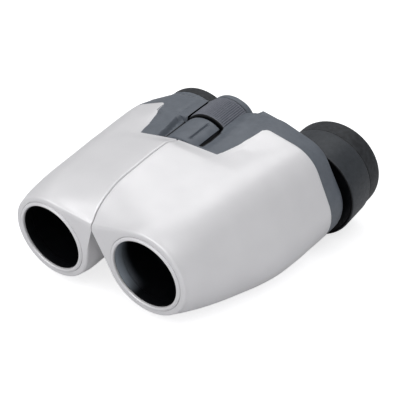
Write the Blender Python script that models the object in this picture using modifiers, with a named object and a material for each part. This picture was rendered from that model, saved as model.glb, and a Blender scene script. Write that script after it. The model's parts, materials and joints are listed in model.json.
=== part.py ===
"""Compact reverse-Porro zoom binoculars, as an assembly of separate parts.

The optical frame is used throughout: X across, +Y from the objectives back to the eyepieces, Z up, with the
origin midway between the two objective openings. Lengths are millimetres, and MM turns them into metres.
The optical frame hangs on the empty "optical_frame", which is tipped and lifted so that the binoculars rest on
their two bellies and two zoom rings, on the plane Z = 0 of the world.
Sides are the user's, looking through the eyepieces: the right half is at -X and the left half at +X.
"""
import math

import bmesh
import bpy
from mathutils import Matrix

MM = 0.001
SIDES = {"right": -1, "left": 1}

# Attitude on a flat surface, and the place of the optical origin over it
REST_PITCH = math.radians(8.337)
ORIGIN_Y = -59.75
ORIGIN_Z = 21.61

# Optical layout
OBJECTIVE_X = 22.8
EYEPIECE_X = 36.0
EYEPIECE_Z = -14.0
APERTURE_R = 14.0

# Hinge, focus wheel and centre cover, all on one axis parallel to Y
AXIS_Z = 11.0
WHEEL_R = 12.1
WHEEL_Y = (73.2, 89.8)
COVER_R = 11.1
COVER_Y = (54.7, 72.0)
TUBE_BORE_R = 3.0
TUBE_R = 4.5
SPINDLE_R = 2.6

# Shells
WALL = 1.6
GAP = 0.3
SHELL_FRONT_Y = 0.5
SHELL_REAR_Y = 90.0
ARM_FRONT_Y = 54.15
ARM_FRONT_X = 18.9
ARM_REAR_X = 24.4
HOUSING_Y = 79.2
CORNER_R = 1.2
DIRECTIONS = 36

# Half body stations. Each section is the rounded hull of four circles (x, z, radius): the objective barrel, the
# top bulge, the belly that swings out to the eyepiece, and the corner at the seam, given by the seam's height.
STATIONS = [
    (0.5, (22.8, 0.0, 16.9), (22.8, 0.0, 16.9), (22.8, 0.0, 16.9), 11.9),
    (1.6, (22.8, 0.0, 17.9), (22.8, 0.0, 17.9), (22.9, -0.1, 17.9), 14.2),
    (6.0, (22.8, 0.0, 18.2), (23.1, 0.0, 18.8), (24.3, -1.2, 18.5), 18.2),
    (12.0, (22.8, 0.0, 18.1), (23.7, 0.0, 19.3), (26.3, -2.9, 18.6), 21.0),
    (20.0, (22.8, 0.0, 17.9), (24.4, -0.1, 19.7), (28.8, -5.0, 18.5), 22.8),
    (30.0, (22.8, 0.0, 17.7), (25.4, -0.3, 19.8), (31.5, -7.2, 18.4), 23.3),
    (40.0, (22.8, 0.0, 17.5), (26.5, -0.5, 19.8), (33.8, -9.2, 18.4), 23.7),
    (47.0, (22.8, 0.0, 17.5), (27.6, -0.7, 19.7), (34.8, -10.3, 18.5), 23.5),
    (54.15, (22.8, 0.3, 17.5), (28.6, -0.8, 19.4), (35.4, -11.2, 18.4), 21.4),
    (66.0, (22.8, 1.5, 17.5), (30.8, -0.3, 18.2), (36.0, -12.5, 18.1), 20.7),
    (79.2, (22.8, 2.5, 17.5), (32.8, 0.0, 16.9), (36.0, -13.4, 18.4), 20.4),
    (87.5, (22.8, 2.5, 17.1), (33.0, -1.0, 16.2), (36.0, -13.8, 18.5), 20.0),
    (90.0, (22.8, 2.5, 15.9), (33.0, -1.0, 15.0), (36.0, -13.8, 17.3), 18.8),
]

# Objective: ring, tube and the travelling cell
RING_R = 15.3
RING_Y = (0.0, 3.6)
BARREL_Y = (3.9, 43.0)
BARREL_BORE_R = 14.4
BARREL_R = 15.4
SLOT_Y = (26.0, 41.5)
SLOT_WIDTH = 6.4
CELL_Y = (33.0, 39.0)
CELL_R = 14.1
LENS_R = 12.6
NUT_Y = (32.4, 40.6)
NUT_R = 5.0
ARM_Y = {"right": (34.0, 36.0), "left": (36.3, 38.3)}
ARM_RING_R = 7.6
POCKET_R = 9.0
POCKET_Y = (25.0, 56.0)

# Prisms and their plate
PLATE_Y = (64.7, 66.3)
PRISM_DEPTH = 13.0
PRISM_WIDTH = 13.5
WINDOW_R = 5.8

# Eyepiece
OCULAR_TUBE_Y = (80.0, 113.0)
OCULAR_BORE_R = 13.0
OCULAR_R = 15.0
ZOOM_Y = (92.0, 107.6)
ZOOM_R = 21.5
EYECUP_Y = (108.1, 118.0)
DIOPTRE_Y = (108.1, 111.4)
BEARING_R = 15.3

# Knuckles, front and rear, one pair for each side
KNUCKLE_R = 7.5
FRONT_KNUCKLE_Y = {"right": (44.3, 47.9), "left": (48.2, 51.8)}
REAR_KNUCKLE_Y = {"right": (90.3, 93.0), "left": (93.3, 96.0)}
REAR_KNUCKLE_R = {"right": 11.6, "left": 9.0}
FOOT_X = (15.3, 18.3)
FOOT_Z = (7.4, 14.4)
KNUCKLE_PLATE_Z = (3.0, 15.2)
KNUCKLE_SCREWS = ((18.4, 12.8), (18.4, 5.4))
PLATE_SCREWS = ((16.8, 10.9), (48.4, -8.0))
SCREW_HOLE_R = 1.3

# Steps round a turned part: small, hidden and visible ones
FEW_STEPS = 10
STEPS = 18
FINE_STEPS = 28


# ---------------------------------------------------------------- scene and materials

def clear_scene():
    for item in list(bpy.data.objects):
        bpy.data.objects.remove(item, do_unlink=True)


def collection(name):
    group = bpy.data.collections.new(name)
    bpy.context.scene.collection.children.link(group)
    return group


def plain_material(name, colour, roughness, metallic=0.0):
    material = bpy.data.materials.new(name)
    material.use_nodes = True
    shader = material.node_tree.nodes["Principled BSDF"]
    shader.inputs["Base Color"].default_value = (*colour, 1.0)
    shader.inputs["Roughness"].default_value = roughness
    shader.inputs["Metallic"].default_value = metallic
    return material


clear_scene()
PARTS = collection("binoculars")
CUTTERS = collection("cutters")
SILVER = plain_material("silver_plastic", (0.70, 0.70, 0.73), 0.32)
GREY = plain_material("grey_plastic", (0.12, 0.14, 0.16), 0.48)
BLACK = plain_material("black_plastic", (0.015, 0.015, 0.017), 0.55)
RUBBER = plain_material("rubber", (0.05, 0.055, 0.06), 0.8)
GLASS = plain_material("glass", (0.55, 0.68, 0.78), 0.05)
STEEL = plain_material("steel", (0.55, 0.55, 0.56), 0.3, 1.0)
BRASS = plain_material("brass", (0.62, 0.47, 0.2), 0.35, 1.0)
ALLOY = plain_material("alloy", (0.42, 0.43, 0.45), 0.45, 1.0)


def empty(name, place, parent=None):
    item = bpy.data.objects.new(name, None)
    item.location = [v * MM for v in place]
    item.parent = parent
    PARTS.objects.link(item)
    return item


OPTICAL = empty("optical_frame", (0.0, ORIGIN_Y, ORIGIN_Z))
OPTICAL.rotation_euler.x = REST_PITCH
PIVOT = empty("fold_pivot", (0.0, 0.0, AXIS_Z), OPTICAL)


def half_parent(side):
    """The left half hangs on the fold pivot, and everything else on the optical frame."""
    return PIVOT if side == "left" else OPTICAL


def place_object(name, mesh, place, parent, material):
    """Link a mesh as a named part at a place in the optical frame; with no material it is a cutter."""
    item = bpy.data.objects.new(name, mesh)
    item.location = [v * MM for v in place]
    item.parent = parent
    if parent is not OPTICAL:
        item.matrix_parent_inverse = Matrix.Translation(-parent.location)
    if material is None:
        CUTTERS.objects.link(item)
        item.hide_render = True
        item.display_type = "WIRE"
    else:
        PARTS.objects.link(item)
        mesh.materials.clear()
        mesh.materials.append(material)
    return item


# ---------------------------------------------------------------- shapes

def turned(name, outline, place, parent, material, steps=STEPS):
    """Turn an outline of (radius, height) points about Y; height runs back from the place."""
    closed = outline[0][0] > 0.0
    mesh = bpy.data.meshes.new(name)
    count = len(outline)
    edges = [(i, i + 1) for i in range(count - 1)]
    if closed:
        edges.append((count - 1, 0))
    mesh.from_pydata([(r * MM, 0.0, h * MM) for r, h in outline], edges, [])
    item = place_object(name, mesh, place, parent, material)
    item.rotation_euler.x = -math.pi / 2.0
    screw = item.modifiers.new("turn", "SCREW")
    screw.steps = steps
    screw.render_steps = steps
    screw.use_merge_vertices = True
    screw.merge_threshold = 0.000001
    return item


def ring_outline(inner, outer, low, high):
    """A plain ring, down its outer side and back up the bore."""
    return [(outer, high), (outer, low), (inner, low), (inner, high)]


def rod_outline(radius, low, high):
    return [(0.0, high), (radius, high), (radius, low), (0.0, low)]


def box(name, low, high, parent, material):
    """A box between two corners of the optical frame."""
    mesh = bpy.data.meshes.new(name)
    shape = bmesh.new()
    bmesh.ops.create_cube(shape, size=1.0)
    size = [(b - a) * MM for a, b in zip(low, high)]
    bmesh.ops.scale(shape, vec=size, verts=shape.verts)
    shape.to_mesh(mesh)
    shape.free()
    return place_object(name, mesh, [(a + b) / 2.0 for a, b in zip(low, high)], parent, material)


def side_box(name, side, x, y, z, parent, material):
    """A box whose X range is given for the left side and mirrored for the right."""
    xs = sorted(SIDES[side] * v for v in x)
    return box(name, (xs[0], y[0], z[0]), (xs[1], y[1], z[1]), parent, material)


def combine(item, cutter, operation="DIFFERENCE"):
    modifier = item.modifiers.new(cutter.name, "BOOLEAN")
    modifier.operation = operation
    modifier.solver = "EXACT"
    modifier.object = cutter
    return item


def bored(item, name, radius, x, z, y, parent):
    """Cut a round hole along Y through the part."""
    steps = FEW_STEPS if radius < 2.0 else STEPS if radius < 8.0 else FINE_STEPS
    cutter = turned(name, rod_outline(radius, y[0], y[1]), (x, 0.0, z), parent, None, steps)
    return combine(item, cutter)


def radial_bar(name, side, reach, y, width, parent):
    """Bar on the line from the hinge axis to the objective axis, between two distances from the hinge axis."""
    span = math.hypot(OBJECTIVE_X, AXIS_Z)
    share = (reach[0] + reach[1]) / 2.0 / span
    x = SIDES[side] * OBJECTIVE_X
    half = (reach[1] - reach[0]) / 2.0
    bar = box(name, (-half, y[0], -width / 2.0), (half, y[1], width / 2.0), parent, None)
    bar.location = [v * MM for v in (x * share, (y[0] + y[1]) / 2.0, AXIS_Z * (1.0 - share))]
    bar.rotation_euler.y = math.atan2(AXIS_Z, x)
    return bar


def rounded(item, width, segments=2):
    bevel = item.modifiers.new("edges", "BEVEL")
    bevel.width = width * MM
    bevel.segments = segments
    bevel.limit_method = "ANGLE"
    return item


# ---------------------------------------------------------------- half body

def inset_circle(circle, inset):
    """Shrink a circle; one too small to shrink moves into the body instead."""
    x, z, radius = circle
    smallest = 0.6
    if radius - inset >= smallest:
        return (x, z, radius - inset)
    shift = inset - (radius - smallest)
    return (x + shift, z - shift, smallest)


def section(station, inset):
    """Outline of the half body at a station: one support point of the hull for each direction."""
    _, barrel, top, belly, seam_height = station
    corner = (GAP / 2.0 + CORNER_R, seam_height - CORNER_R, CORNER_R)
    circles = [inset_circle(c, inset) for c in (barrel, top, belly, corner)]
    points = []
    for k in range(DIRECTIONS):
        angle = 2.0 * math.pi * (k + 0.5) / DIRECTIONS
        ux, uz = math.cos(angle), math.sin(angle)
        x, z, radius = max(circles, key=lambda c: c[0] * ux + c[1] * uz + c[2])
        points.append((x + radius * ux, z + radius * uz))
    return points


def blended(station, following, share):
    """A station part of the way from one station to the next."""
    mixed = [station[0] + (following[0] - station[0]) * share]
    for a, b in zip(station[1:4], following[1:4]):
        mixed.append(tuple(p + (q - p) * share for p, q in zip(a, b)))
    mixed.append(station[4] + (following[4] - station[4]) * share)
    return tuple(mixed)


def station_at(y):
    for station, following in zip(STATIONS, STATIONS[1:]):
        if y <= following[0]:
            return blended(station, following, (y - station[0]) / (following[0] - station[0]))
    return STATIONS[-1]


def half_skin(name, side, stations, inset, parent, material):
    """Loft the sections of one half into a closed solid."""
    sign = SIDES[side]
    shape = bmesh.new()
    rings = []
    for station in stations:
        points = section(station, inset)
        rings.append([shape.verts.new((sign * x * MM, station[0] * MM, z * MM)) for x, z in points])
    for ring, following in zip(rings, rings[1:]):
        for k in range(DIRECTIONS):
            n = (k + 1) % DIRECTIONS
            shape.faces.new((ring[k], ring[n], following[n], following[k]))
    shape.faces.new(rings[0])
    shape.faces.new(rings[-1])
    bmesh.ops.recalc_face_normals(shape, faces=shape.faces)
    mesh = bpy.data.meshes.new(name)
    shape.to_mesh(mesh)
    shape.free()
    return place_object(name, mesh, (0.0, 0.0, 0.0), parent, material)


def inner_skin(name, side, front, rear, parent):
    """The hollow inside one half, between two places along Y."""
    middle = [s for s in STATIONS if front < s[0] < rear]
    return half_skin(name, side, [station_at(front)] + middle + [station_at(rear)], WALL, parent, None)


def rear_region(name, side, grow, parent):
    """Upright prism over everything behind the front shell: the arm beside the centre and the rear housing."""
    sign = SIDES[side]
    far = 80.0
    round_r = 3.0
    outline = [(-5.0, ARM_FRONT_Y), (ARM_FRONT_X, ARM_FRONT_Y), (ARM_REAR_X, HOUSING_Y - round_r)]
    for k in (1, 2, 3):
        angle = math.pi / 2.0 * k / 3.0
        outline.append((ARM_REAR_X + round_r * (1.0 - math.cos(angle)), HOUSING_Y - round_r * (1.0 - math.sin(angle))))
    outline += [(far, HOUSING_Y), (far, 2.0 * far), (-5.0, 2.0 * far)]
    mesh = bpy.data.meshes.new(name)
    corners = [(sign * (x + grow) * MM, (y - grow) * MM, 0.0) for x, y in outline]
    mesh.from_pydata(corners, [], [list(range(len(corners)))])
    item = place_object(name, mesh, (0.0, 0.0, 0.0), parent, None)
    thick = item.modifiers.new("upright", "SOLIDIFY")
    thick.thickness = 2.0 * far * MM
    thick.offset = 0.0
    return item


def front_shell(side):
    parent = half_parent(side)
    x = SIDES[side] * OBJECTIVE_X
    stations = [s for s in STATIONS if s[0] <= HOUSING_Y]
    shell = half_skin(f"{side}_front_shell", side, stations, 0.0, parent, SILVER)
    combine(shell, inner_skin(f"{side}_front_hollow", side, SHELL_FRONT_Y + 2.2, HOUSING_Y - 0.01, parent))
    combine(shell, rear_region(f"{side}_front_limit", side, GAP / 2.0, parent))
    bored(shell, f"{side}_front_mouth", RING_R + GAP, x, 0.0, (-2.0, 4.0), parent)
    bored(shell, f"{side}_front_pocket", POCKET_R, 0.0, AXIS_Z, POCKET_Y, parent)
    return shell


def rear_housing(side):
    parent = half_parent(side)
    sign = SIDES[side]
    stations = [s for s in STATIONS if s[0] >= ARM_FRONT_Y - 8.0]
    housing = half_skin(f"{side}_rear_housing", side, stations, 0.0, parent, GREY)
    hollow = inner_skin(f"{side}_rear_hollow", side, ARM_FRONT_Y - 7.0, SHELL_REAR_Y - 2.0, parent)
    wheel_space = WHEEL_R + 0.6
    wheel_front = 40.0 if side == "left" else COVER_Y[1] + 0.4
    wall_round_axis = turned(f"{side}_scallop_wall", rod_outline(wheel_space + WALL, ARM_FRONT_Y - 2.0, 100.0),
                             (0.0, 0.0, AXIS_Z), parent, None)
    combine(hollow, wall_round_axis)
    combine(housing, hollow)
    combine(housing, rear_region(f"{side}_rear_limit", side, -GAP / 2.0, parent), "INTERSECT")
    bored(housing, f"{side}_wheel_space", wheel_space, 0.0, AXIS_Z, (wheel_front, 100.0), parent)
    if side == "right":
        bored(housing, "right_cover_space", COVER_R + GAP, 0.0, AXIS_Z, (40.0, wheel_front + 1.0), parent)
    bored(housing, f"{side}_ocular_hole", OCULAR_R + GAP, sign * EYEPIECE_X, EYEPIECE_Z, (84.0, 95.0), parent)
    for number, (screw_x, screw_z) in enumerate(KNUCKLE_SCREWS, 1):
        bored(housing, f"{side}_housing_screw_hole_{number}", SCREW_HOLE_R, sign * screw_x, screw_z, (85.0, 95.0), parent)
    return housing


# ---------------------------------------------------------------- objective

def objective_ring(side):
    outline = [(RING_R, RING_Y[1]), (RING_R, 0.3), (RING_R - 0.3, RING_Y[0]), (APERTURE_R + 0.3, RING_Y[0]),
               (APERTURE_R, 0.3), (APERTURE_R, RING_Y[1])]
    return turned(f"{side}_objective_ring", outline, (SIDES[side] * OBJECTIVE_X, 0.0, 0.0), half_parent(side),
                  SILVER, FINE_STEPS)


def objective_tube(side):
    outline = ring_outline(BARREL_BORE_R, BARREL_R, *BARREL_Y)
    tube = turned(f"{side}_objective_tube", outline, (SIDES[side] * OBJECTIVE_X, 0.0, 0.0), half_parent(side),
                  BLACK, FINE_STEPS)
    middle = math.hypot(OBJECTIVE_X, AXIS_Z) - BARREL_R
    slot = radial_bar(f"{side}_barrel_slot", side, (middle - 4.0, middle + 4.0), SLOT_Y, SLOT_WIDTH, half_parent(side))
    return combine(tube, slot)


def objective_cell(side):
    low, high = CELL_Y
    outline = [(CELL_R, high), (CELL_R, low), (LENS_R - 1.0, low), (LENS_R - 1.0, low + 0.8),
               (LENS_R + GAP / 2.0, low + 0.8), (LENS_R + GAP / 2.0, high)]
    return turned(f"{side}_objective_cell", outline, (SIDES[side] * OBJECTIVE_X, 0.0, 0.0), half_parent(side), BLACK)


def lens_outline(radius, low, high, bulge):
    """Biconvex lens: two shallow arcs about a straight edge."""
    steps = 3
    back = [(radius * k / steps, high + bulge * (1.0 - (k / steps) ** 2)) for k in range(steps + 1)]
    front = [(radius * k / steps, low - bulge * (1.0 - (k / steps) ** 2)) for k in range(steps, -1, -1)]
    return back + front


def objective_lens(side):
    outline = lens_outline(LENS_R, CELL_Y[0] + 2.0, CELL_Y[1] - 1.0, 0.9)
    return turned(f"{side}_objective_lens", outline, (SIDES[side] * OBJECTIVE_X, 0.0, 0.0), half_parent(side), GLASS)


def focus_arm(side):
    """Ring on the focus nut with a bar that reaches through the barrel's slot to the lens cell."""
    parent = half_parent(side)
    y = ARM_Y[side]
    arm = turned(f"{side}_focus_arm", ring_outline(NUT_R + GAP, ARM_RING_R, *y), (0.0, 0.0, AXIS_Z), parent, ALLOY)
    reach = (NUT_R + 1.2, math.hypot(OBJECTIVE_X, AXIS_Z) - CELL_R - GAP)
    return combine(arm, radial_bar(f"{side}_arm_bar", side, reach, y, 4.0, parent), "UNION")


# ---------------------------------------------------------------- prisms

def prism_plate(side):
    """Chassis plate with the body's section, cut away round the hinge, with windows for the light."""
    parent = half_parent(side)
    sign = SIDES[side]
    stations = []
    for y in PLATE_Y:
        station = list(station_at(y))
        station[0] = y
        stations.append(tuple(station))
    plate = half_skin(f"{side}_prism_plate", side, stations, WALL + 0.5, parent, ALLOY)
    bored(plate, f"{side}_plate_scallop", WHEEL_R + 0.6 + WALL + GAP, 0.0, AXIS_Z, (60.0, 70.0), parent)
    for number, (x, z) in enumerate(((OBJECTIVE_X, 0.0), (EYEPIECE_X, 0.0), (EYEPIECE_X, EYEPIECE_Z)), 1):
        bored(plate, f"{side}_plate_window_{number}", WINDOW_R, sign * x, z, (60.0, 70.0), parent)
    for number, (x, z) in enumerate(PLATE_SCREWS, 1):
        bored(plate, f"{side}_plate_hole_{number}", SCREW_HOLE_R, sign * x, z, (60.0, 70.0), parent)
    return plate


def porro_prism(name, corners, extrude, place, parent):
    """Right-angle prism from a triangle, extruded along one axis."""
    mesh = bpy.data.meshes.new(name)
    shape = bmesh.new()
    triangle = shape.faces.new([shape.verts.new([v * MM for v in corner]) for corner in corners])
    grown = bmesh.ops.extrude_face_region(shape, geom=[triangle])
    moved = [v for v in grown["geom"] if isinstance(v, bmesh.types.BMVert)]
    bmesh.ops.translate(shape, vec=[v * MM for v in extrude], verts=moved)
    bmesh.ops.recalc_face_normals(shape, faces=shape.faces)
    shape.to_mesh(mesh)
    shape.free()
    return place_object(name, mesh, place, parent, GLASS)


def rear_prism(side):
    """Shifts the beam across, with its long face on the back of the plate."""
    middle = (OBJECTIVE_X + EYEPIECE_X) / 2.0
    half = PRISM_WIDTH / 2.0
    corners = [(-PRISM_DEPTH, 0.0, -half), (PRISM_DEPTH, 0.0, -half), (0.0, PRISM_DEPTH, -half)]
    return porro_prism(f"{side}_rear_prism", corners, (0.0, 0.0, PRISM_WIDTH),
                       (SIDES[side] * middle, PLATE_Y[1] + GAP, 0.0), half_parent(side))


def front_prism(side):
    """Shifts the beam down, with its long face on the front of the plate."""
    half = PRISM_WIDTH / 2.0
    corners = [(-half, 0.0, -PRISM_DEPTH), (-half, 0.0, PRISM_DEPTH), (-half, -PRISM_DEPTH, 0.0)]
    return porro_prism(f"{side}_front_prism", corners, (PRISM_WIDTH, 0.0, 0.0),
                       (SIDES[side] * EYEPIECE_X, PLATE_Y[0] - GAP, EYEPIECE_Z / 2.0), half_parent(side))


def screw(name, x, head_y, z, length, parent):
    """Pan-head screw entering forwards, with a cross-ways driver slot in its head."""
    outline = [(0.0, head_y + 1.0), (1.5, head_y + 1.0), (1.95, head_y + 0.6), (1.95, head_y),
               (1.0, head_y), (1.0, head_y - length), (0.0, head_y - length)]
    item = turned(name, outline, (x, 0.0, z), parent, STEEL, FEW_STEPS)
    slot = box(f"{name}_slot", (x - 3.0, head_y + 0.55, z - 0.3), (x + 3.0, head_y + 2.0, z + 0.3), parent, None)
    return combine(item, slot)


def prism_screws(side):
    for number, (x, z) in enumerate(PLATE_SCREWS, 1):
        length = 6.0 if number == 1 else 4.5
        screw(f"{side}_prism_screw_{number}", SIDES[side] * x, PLATE_Y[1] + GAP, z, length, half_parent(side))


# ---------------------------------------------------------------- eyepiece

def eyepiece_part(name, side, outline, material, steps=STEPS):
    place = (SIDES[side] * EYEPIECE_X, 0.0, EYEPIECE_Z)
    return turned(f"{side}_{name}", outline, place, half_parent(side), material, steps)


def eyepiece_tube(side):
    low, high = OCULAR_TUBE_Y
    flange = (84.6, SHELL_REAR_Y - 2.0 - GAP)
    outline = [(OCULAR_R, high), (OCULAR_R, flange[1]), (OCULAR_R + 1.0, flange[1]), (OCULAR_R + 1.0, flange[0]),
               (OCULAR_R, flange[0]), (OCULAR_R, low), (OCULAR_BORE_R, low), (OCULAR_BORE_R, high)]
    return eyepiece_part("eyepiece_tube", side, outline, BLACK)


def zoom_group(side):
    """Lens that slides along the eyepiece tube as the zoom ring turns."""
    bore = 9.4
    outline = [(OCULAR_BORE_R - GAP, 92.0), (OCULAR_BORE_R - GAP, 87.0), (bore - 1.0, 87.0), (bore - 1.0, 87.8),
               (bore, 87.8), (bore, 92.0)]
    eyepiece_part("zoom_carrier", side, outline, BLACK)
    eyepiece_part("zoom_lens", side, lens_outline(bore - GAP / 2.0, 89.0, 90.6, 0.7), GLASS)


def zoom_ring(side):
    """Thin sleeve with a web at its front that runs on the eyepiece tube."""
    low, high = ZOOM_Y
    outline = [(ZOOM_R, high), (ZOOM_R, low + 1.2), (ZOOM_R - 0.5, low + 0.3), (ZOOM_R - 1.4, low),
               (BEARING_R, low), (BEARING_R, low + 2.2), (ZOOM_R - 2.0, low + 2.2), (ZOOM_R - 2.0, high)]
    return eyepiece_part("zoom_ring", side, outline, GREY, FINE_STEPS)


def zoom_lever():
    """Thumb lever on the inner side of the right ring."""
    lever = box("zoom_lever", (0.0, -3.0, -1.6), (3.4, 3.0, 1.6), OPTICAL, GREY)
    angle = math.radians(-35.0)
    reach = ZOOM_R + GAP + 1.7
    lever.location = [v * MM for v in (-EYEPIECE_X + reach * math.cos(angle), 99.5,
                                       EYEPIECE_Z + reach * math.sin(angle))]
    lever.rotation_euler.y = -angle
    return rounded(lever, 0.7)


def eye_lens(side):
    return eyepiece_part("eye_lens", side, lens_outline(OCULAR_BORE_R - GAP, 105.5, 107.5, 1.0), GLASS)


def eyecup(side):
    """Soft cup with a dished mouth; the right one sits behind the dioptre ring."""
    low = EYECUP_Y[0] if side == "left" else DIOPTRE_Y[1] + GAP
    high = EYECUP_Y[1]
    wide = 21.0
    outline = [(19.8, high), (20.6, high - 0.8), (wide, low + 0.4), (wide - 0.4, low), (BEARING_R, low),
               (BEARING_R, high - 4.4), (14.0, high - 4.2), (18.8, high)]
    return eyepiece_part("eyecup", side, outline, RUBBER, FINE_STEPS)


def dioptre_ring():
    low, high = DIOPTRE_Y
    wide = 21.2
    outline = [(wide - 0.3, high), (wide, high - 0.3), (wide, low + 0.3), (wide - 0.3, low), (BEARING_R, low),
               (BEARING_R, high)]
    place = (-EYEPIECE_X, 0.0, EYEPIECE_Z)
    return turned("dioptre_ring", outline, place, OPTICAL, GREY, FINE_STEPS)


# ---------------------------------------------------------------- hinge and focus

def centre_part(name, outline, material, steps=STEPS, parent=None):
    return turned(name, outline, (0.0, 0.0, AXIS_Z), parent or OPTICAL, material, steps)


def centre_cover():
    low, high = COVER_Y
    outline = [(COVER_R - 0.4, high), (COVER_R, high - 0.4), (COVER_R, low), (COVER_R - 1.5, low), (COVER_R - 1.5, high)]
    cover = centre_part("centre_cover", outline, GREY, FINE_STEPS)
    groove = box("cover_groove", (1.2, low - 1.0, AXIS_Z + COVER_R - 0.8), (2.3, high + 1.0, AXIS_Z + COVER_R + 2.0),
                 OPTICAL, None)
    return combine(cover, groove)


def focus_parts():
    centre_part("hinge_tube", ring_outline(TUBE_BORE_R, TUBE_R, FRONT_KNUCKLE_Y["right"][0] - 0.4, 71.6), STEEL)
    centre_part("focus_spindle", rod_outline(SPINDLE_R, 30.5, 98.4), STEEL)
    nut = [(NUT_R, NUT_Y[1]), (NUT_R, NUT_Y[0] + 1.2), (ARM_RING_R, NUT_Y[0] + 1.2), (ARM_RING_R, NUT_Y[0]),
           (SPINDLE_R + GAP, NUT_Y[0]), (SPINDLE_R + GAP, NUT_Y[1])]
    centre_part("focus_nut", nut, BRASS)
    low, high = WHEEL_Y
    centre_part("wheel_hub", ring_outline(SPINDLE_R + GAP, 8.7, low + 0.6, high - 0.6), BLACK)
    cap = [(0.0, 100.8), (3.6, 100.8), (4.6, 99.8), (4.6, 96.4), (SPINDLE_R + GAP, 96.4), (SPINDLE_R + GAP, 98.7),
           (0.0, 98.7)]
    centre_part("spindle_cap", cap, STEEL)


def focus_wheel():
    """Rubber tyre with fine ribs, from a star-shaped outline thickened along the axis."""
    ribs = 36
    shape = bmesh.new()
    outer = []
    inner = []
    for k in range(2 * ribs):
        angle = math.pi * (k + 0.5) / ribs
        radius = (WHEEL_R if k % 2 else WHEEL_R - 0.45) * MM
        outer.append(shape.verts.new((radius * math.cos(angle), WHEEL_Y[0] * MM, radius * math.sin(angle))))
        bore = 9.0 * MM
        inner.append(shape.verts.new((bore * math.cos(angle), WHEEL_Y[0] * MM, bore * math.sin(angle))))
    faces = []
    for k in range(2 * ribs):
        n = (k + 1) % (2 * ribs)
        faces.append(shape.faces.new((outer[k], outer[n], inner[n], inner[k])))
    grown = bmesh.ops.extrude_face_region(shape, geom=faces)
    moved = [v for v in grown["geom"] if isinstance(v, bmesh.types.BMVert)]
    bmesh.ops.translate(shape, vec=(0.0, (WHEEL_Y[1] - WHEEL_Y[0]) * MM, 0.0), verts=moved)
    bmesh.ops.recalc_face_normals(shape, faces=shape.faces)
    mesh = bpy.data.meshes.new("focus_wheel")
    shape.to_mesh(mesh)
    shape.free()
    return place_object("focus_wheel", mesh, (0.0, 0.0, AXIS_Z), OPTICAL, RUBBER)


def front_knuckle(side):
    """Ring on the hinge tube, a web out into the half body and a foot back to the prism plate."""
    parent = half_parent(side)
    y = FRONT_KNUCKLE_Y[side]
    bore = TUBE_R + GAP
    knuckle = centre_part(f"{side}_front_knuckle", ring_outline(bore, KNUCKLE_R, *y), ALLOY, STEPS, parent)
    web = side_box(f"{side}_knuckle_web", side, (6.2, FOOT_X[1]), y, (8.0, 13.8), parent, None)
    foot = side_box(f"{side}_knuckle_foot", side, FOOT_X, (y[1] - 1.0, PLATE_Y[0] - GAP), FOOT_Z, parent, None)
    combine(combine(knuckle, web, "UNION"), foot, "UNION")
    x, z = PLATE_SCREWS[0]
    return bored(knuckle, f"{side}_foot_hole", SCREW_HOLE_R, SIDES[side] * x, z, (59.0, 70.0), parent)


def rear_knuckle(side):
    """Ring round the spindle behind the wheel, with a plate screwed to the back of the housing."""
    parent = half_parent(side)
    sign = SIDES[side]
    low, high = REAR_KNUCKLE_Y[side]
    bore = SPINDLE_R + GAP
    knuckle = centre_part(f"{side}_rear_knuckle", ring_outline(bore, REAR_KNUCKLE_R[side], low, high), GREY, STEPS, parent)
    plate = side_box(f"{side}_knuckle_plate", side, (5.0, 21.0), (low, high), KNUCKLE_PLATE_Z, parent, None)
    combine(knuckle, plate, "UNION")
    if side == "left":
        step = side_box("left_knuckle_step", side, (14.6, 21.0), (SHELL_REAR_Y + GAP, high), KNUCKLE_PLATE_Z, parent, None)
        combine(knuckle, step, "UNION")
    for number, (x, z) in enumerate(KNUCKLE_SCREWS, 1):
        bored(knuckle, f"{side}_knuckle_hole_{number}", SCREW_HOLE_R, sign * x, z, (85.0, 99.0), parent)
        screw(f"{side}_knuckle_screw_{number}", sign * x, high + GAP, z, high + GAP - 85.6, parent)
    return knuckle


# ---------------------------------------------------------------- assembly

def build_half(side):
    front_shell(side)
    rear_housing(side)
    objective_ring(side)
    objective_tube(side)
    objective_cell(side)
    objective_lens(side)
    focus_arm(side)
    prism_plate(side)
    rear_prism(side)
    front_prism(side)
    prism_screws(side)
    eyepiece_tube(side)
    zoom_group(side)
    zoom_ring(side)
    eye_lens(side)
    eyecup(side)
    front_knuckle(side)
    rear_knuckle(side)


def smooth_round_parts():
    sharp = math.radians(35.0)
    for item in PARTS.objects:
        if item.type == "MESH":
            item.data.shade_smooth()
            item.data.set_sharp_from_angle(angle=sharp)


for half in SIDES:
    build_half(half)
dioptre_ring()
zoom_lever()
centre_cover()
focus_wheel()
focus_parts()
smooth_round_parts()
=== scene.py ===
"""The looks of compact reverse-Porro zoom binoculars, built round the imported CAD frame.

Shapes are made in the optical frame of the binoculars, in millimetres: X across, +Y from the objectives
back to the eyepieces, Z up, with the origin midway between the objective openings. TO_ROW takes them to the
frame's metres. Sides are the user's: the right half is at -X and the left half at +X.
"""
import json
import math

import bmesh
import bpy
import numpy as np
from mathutils import Matrix, Vector


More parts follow.
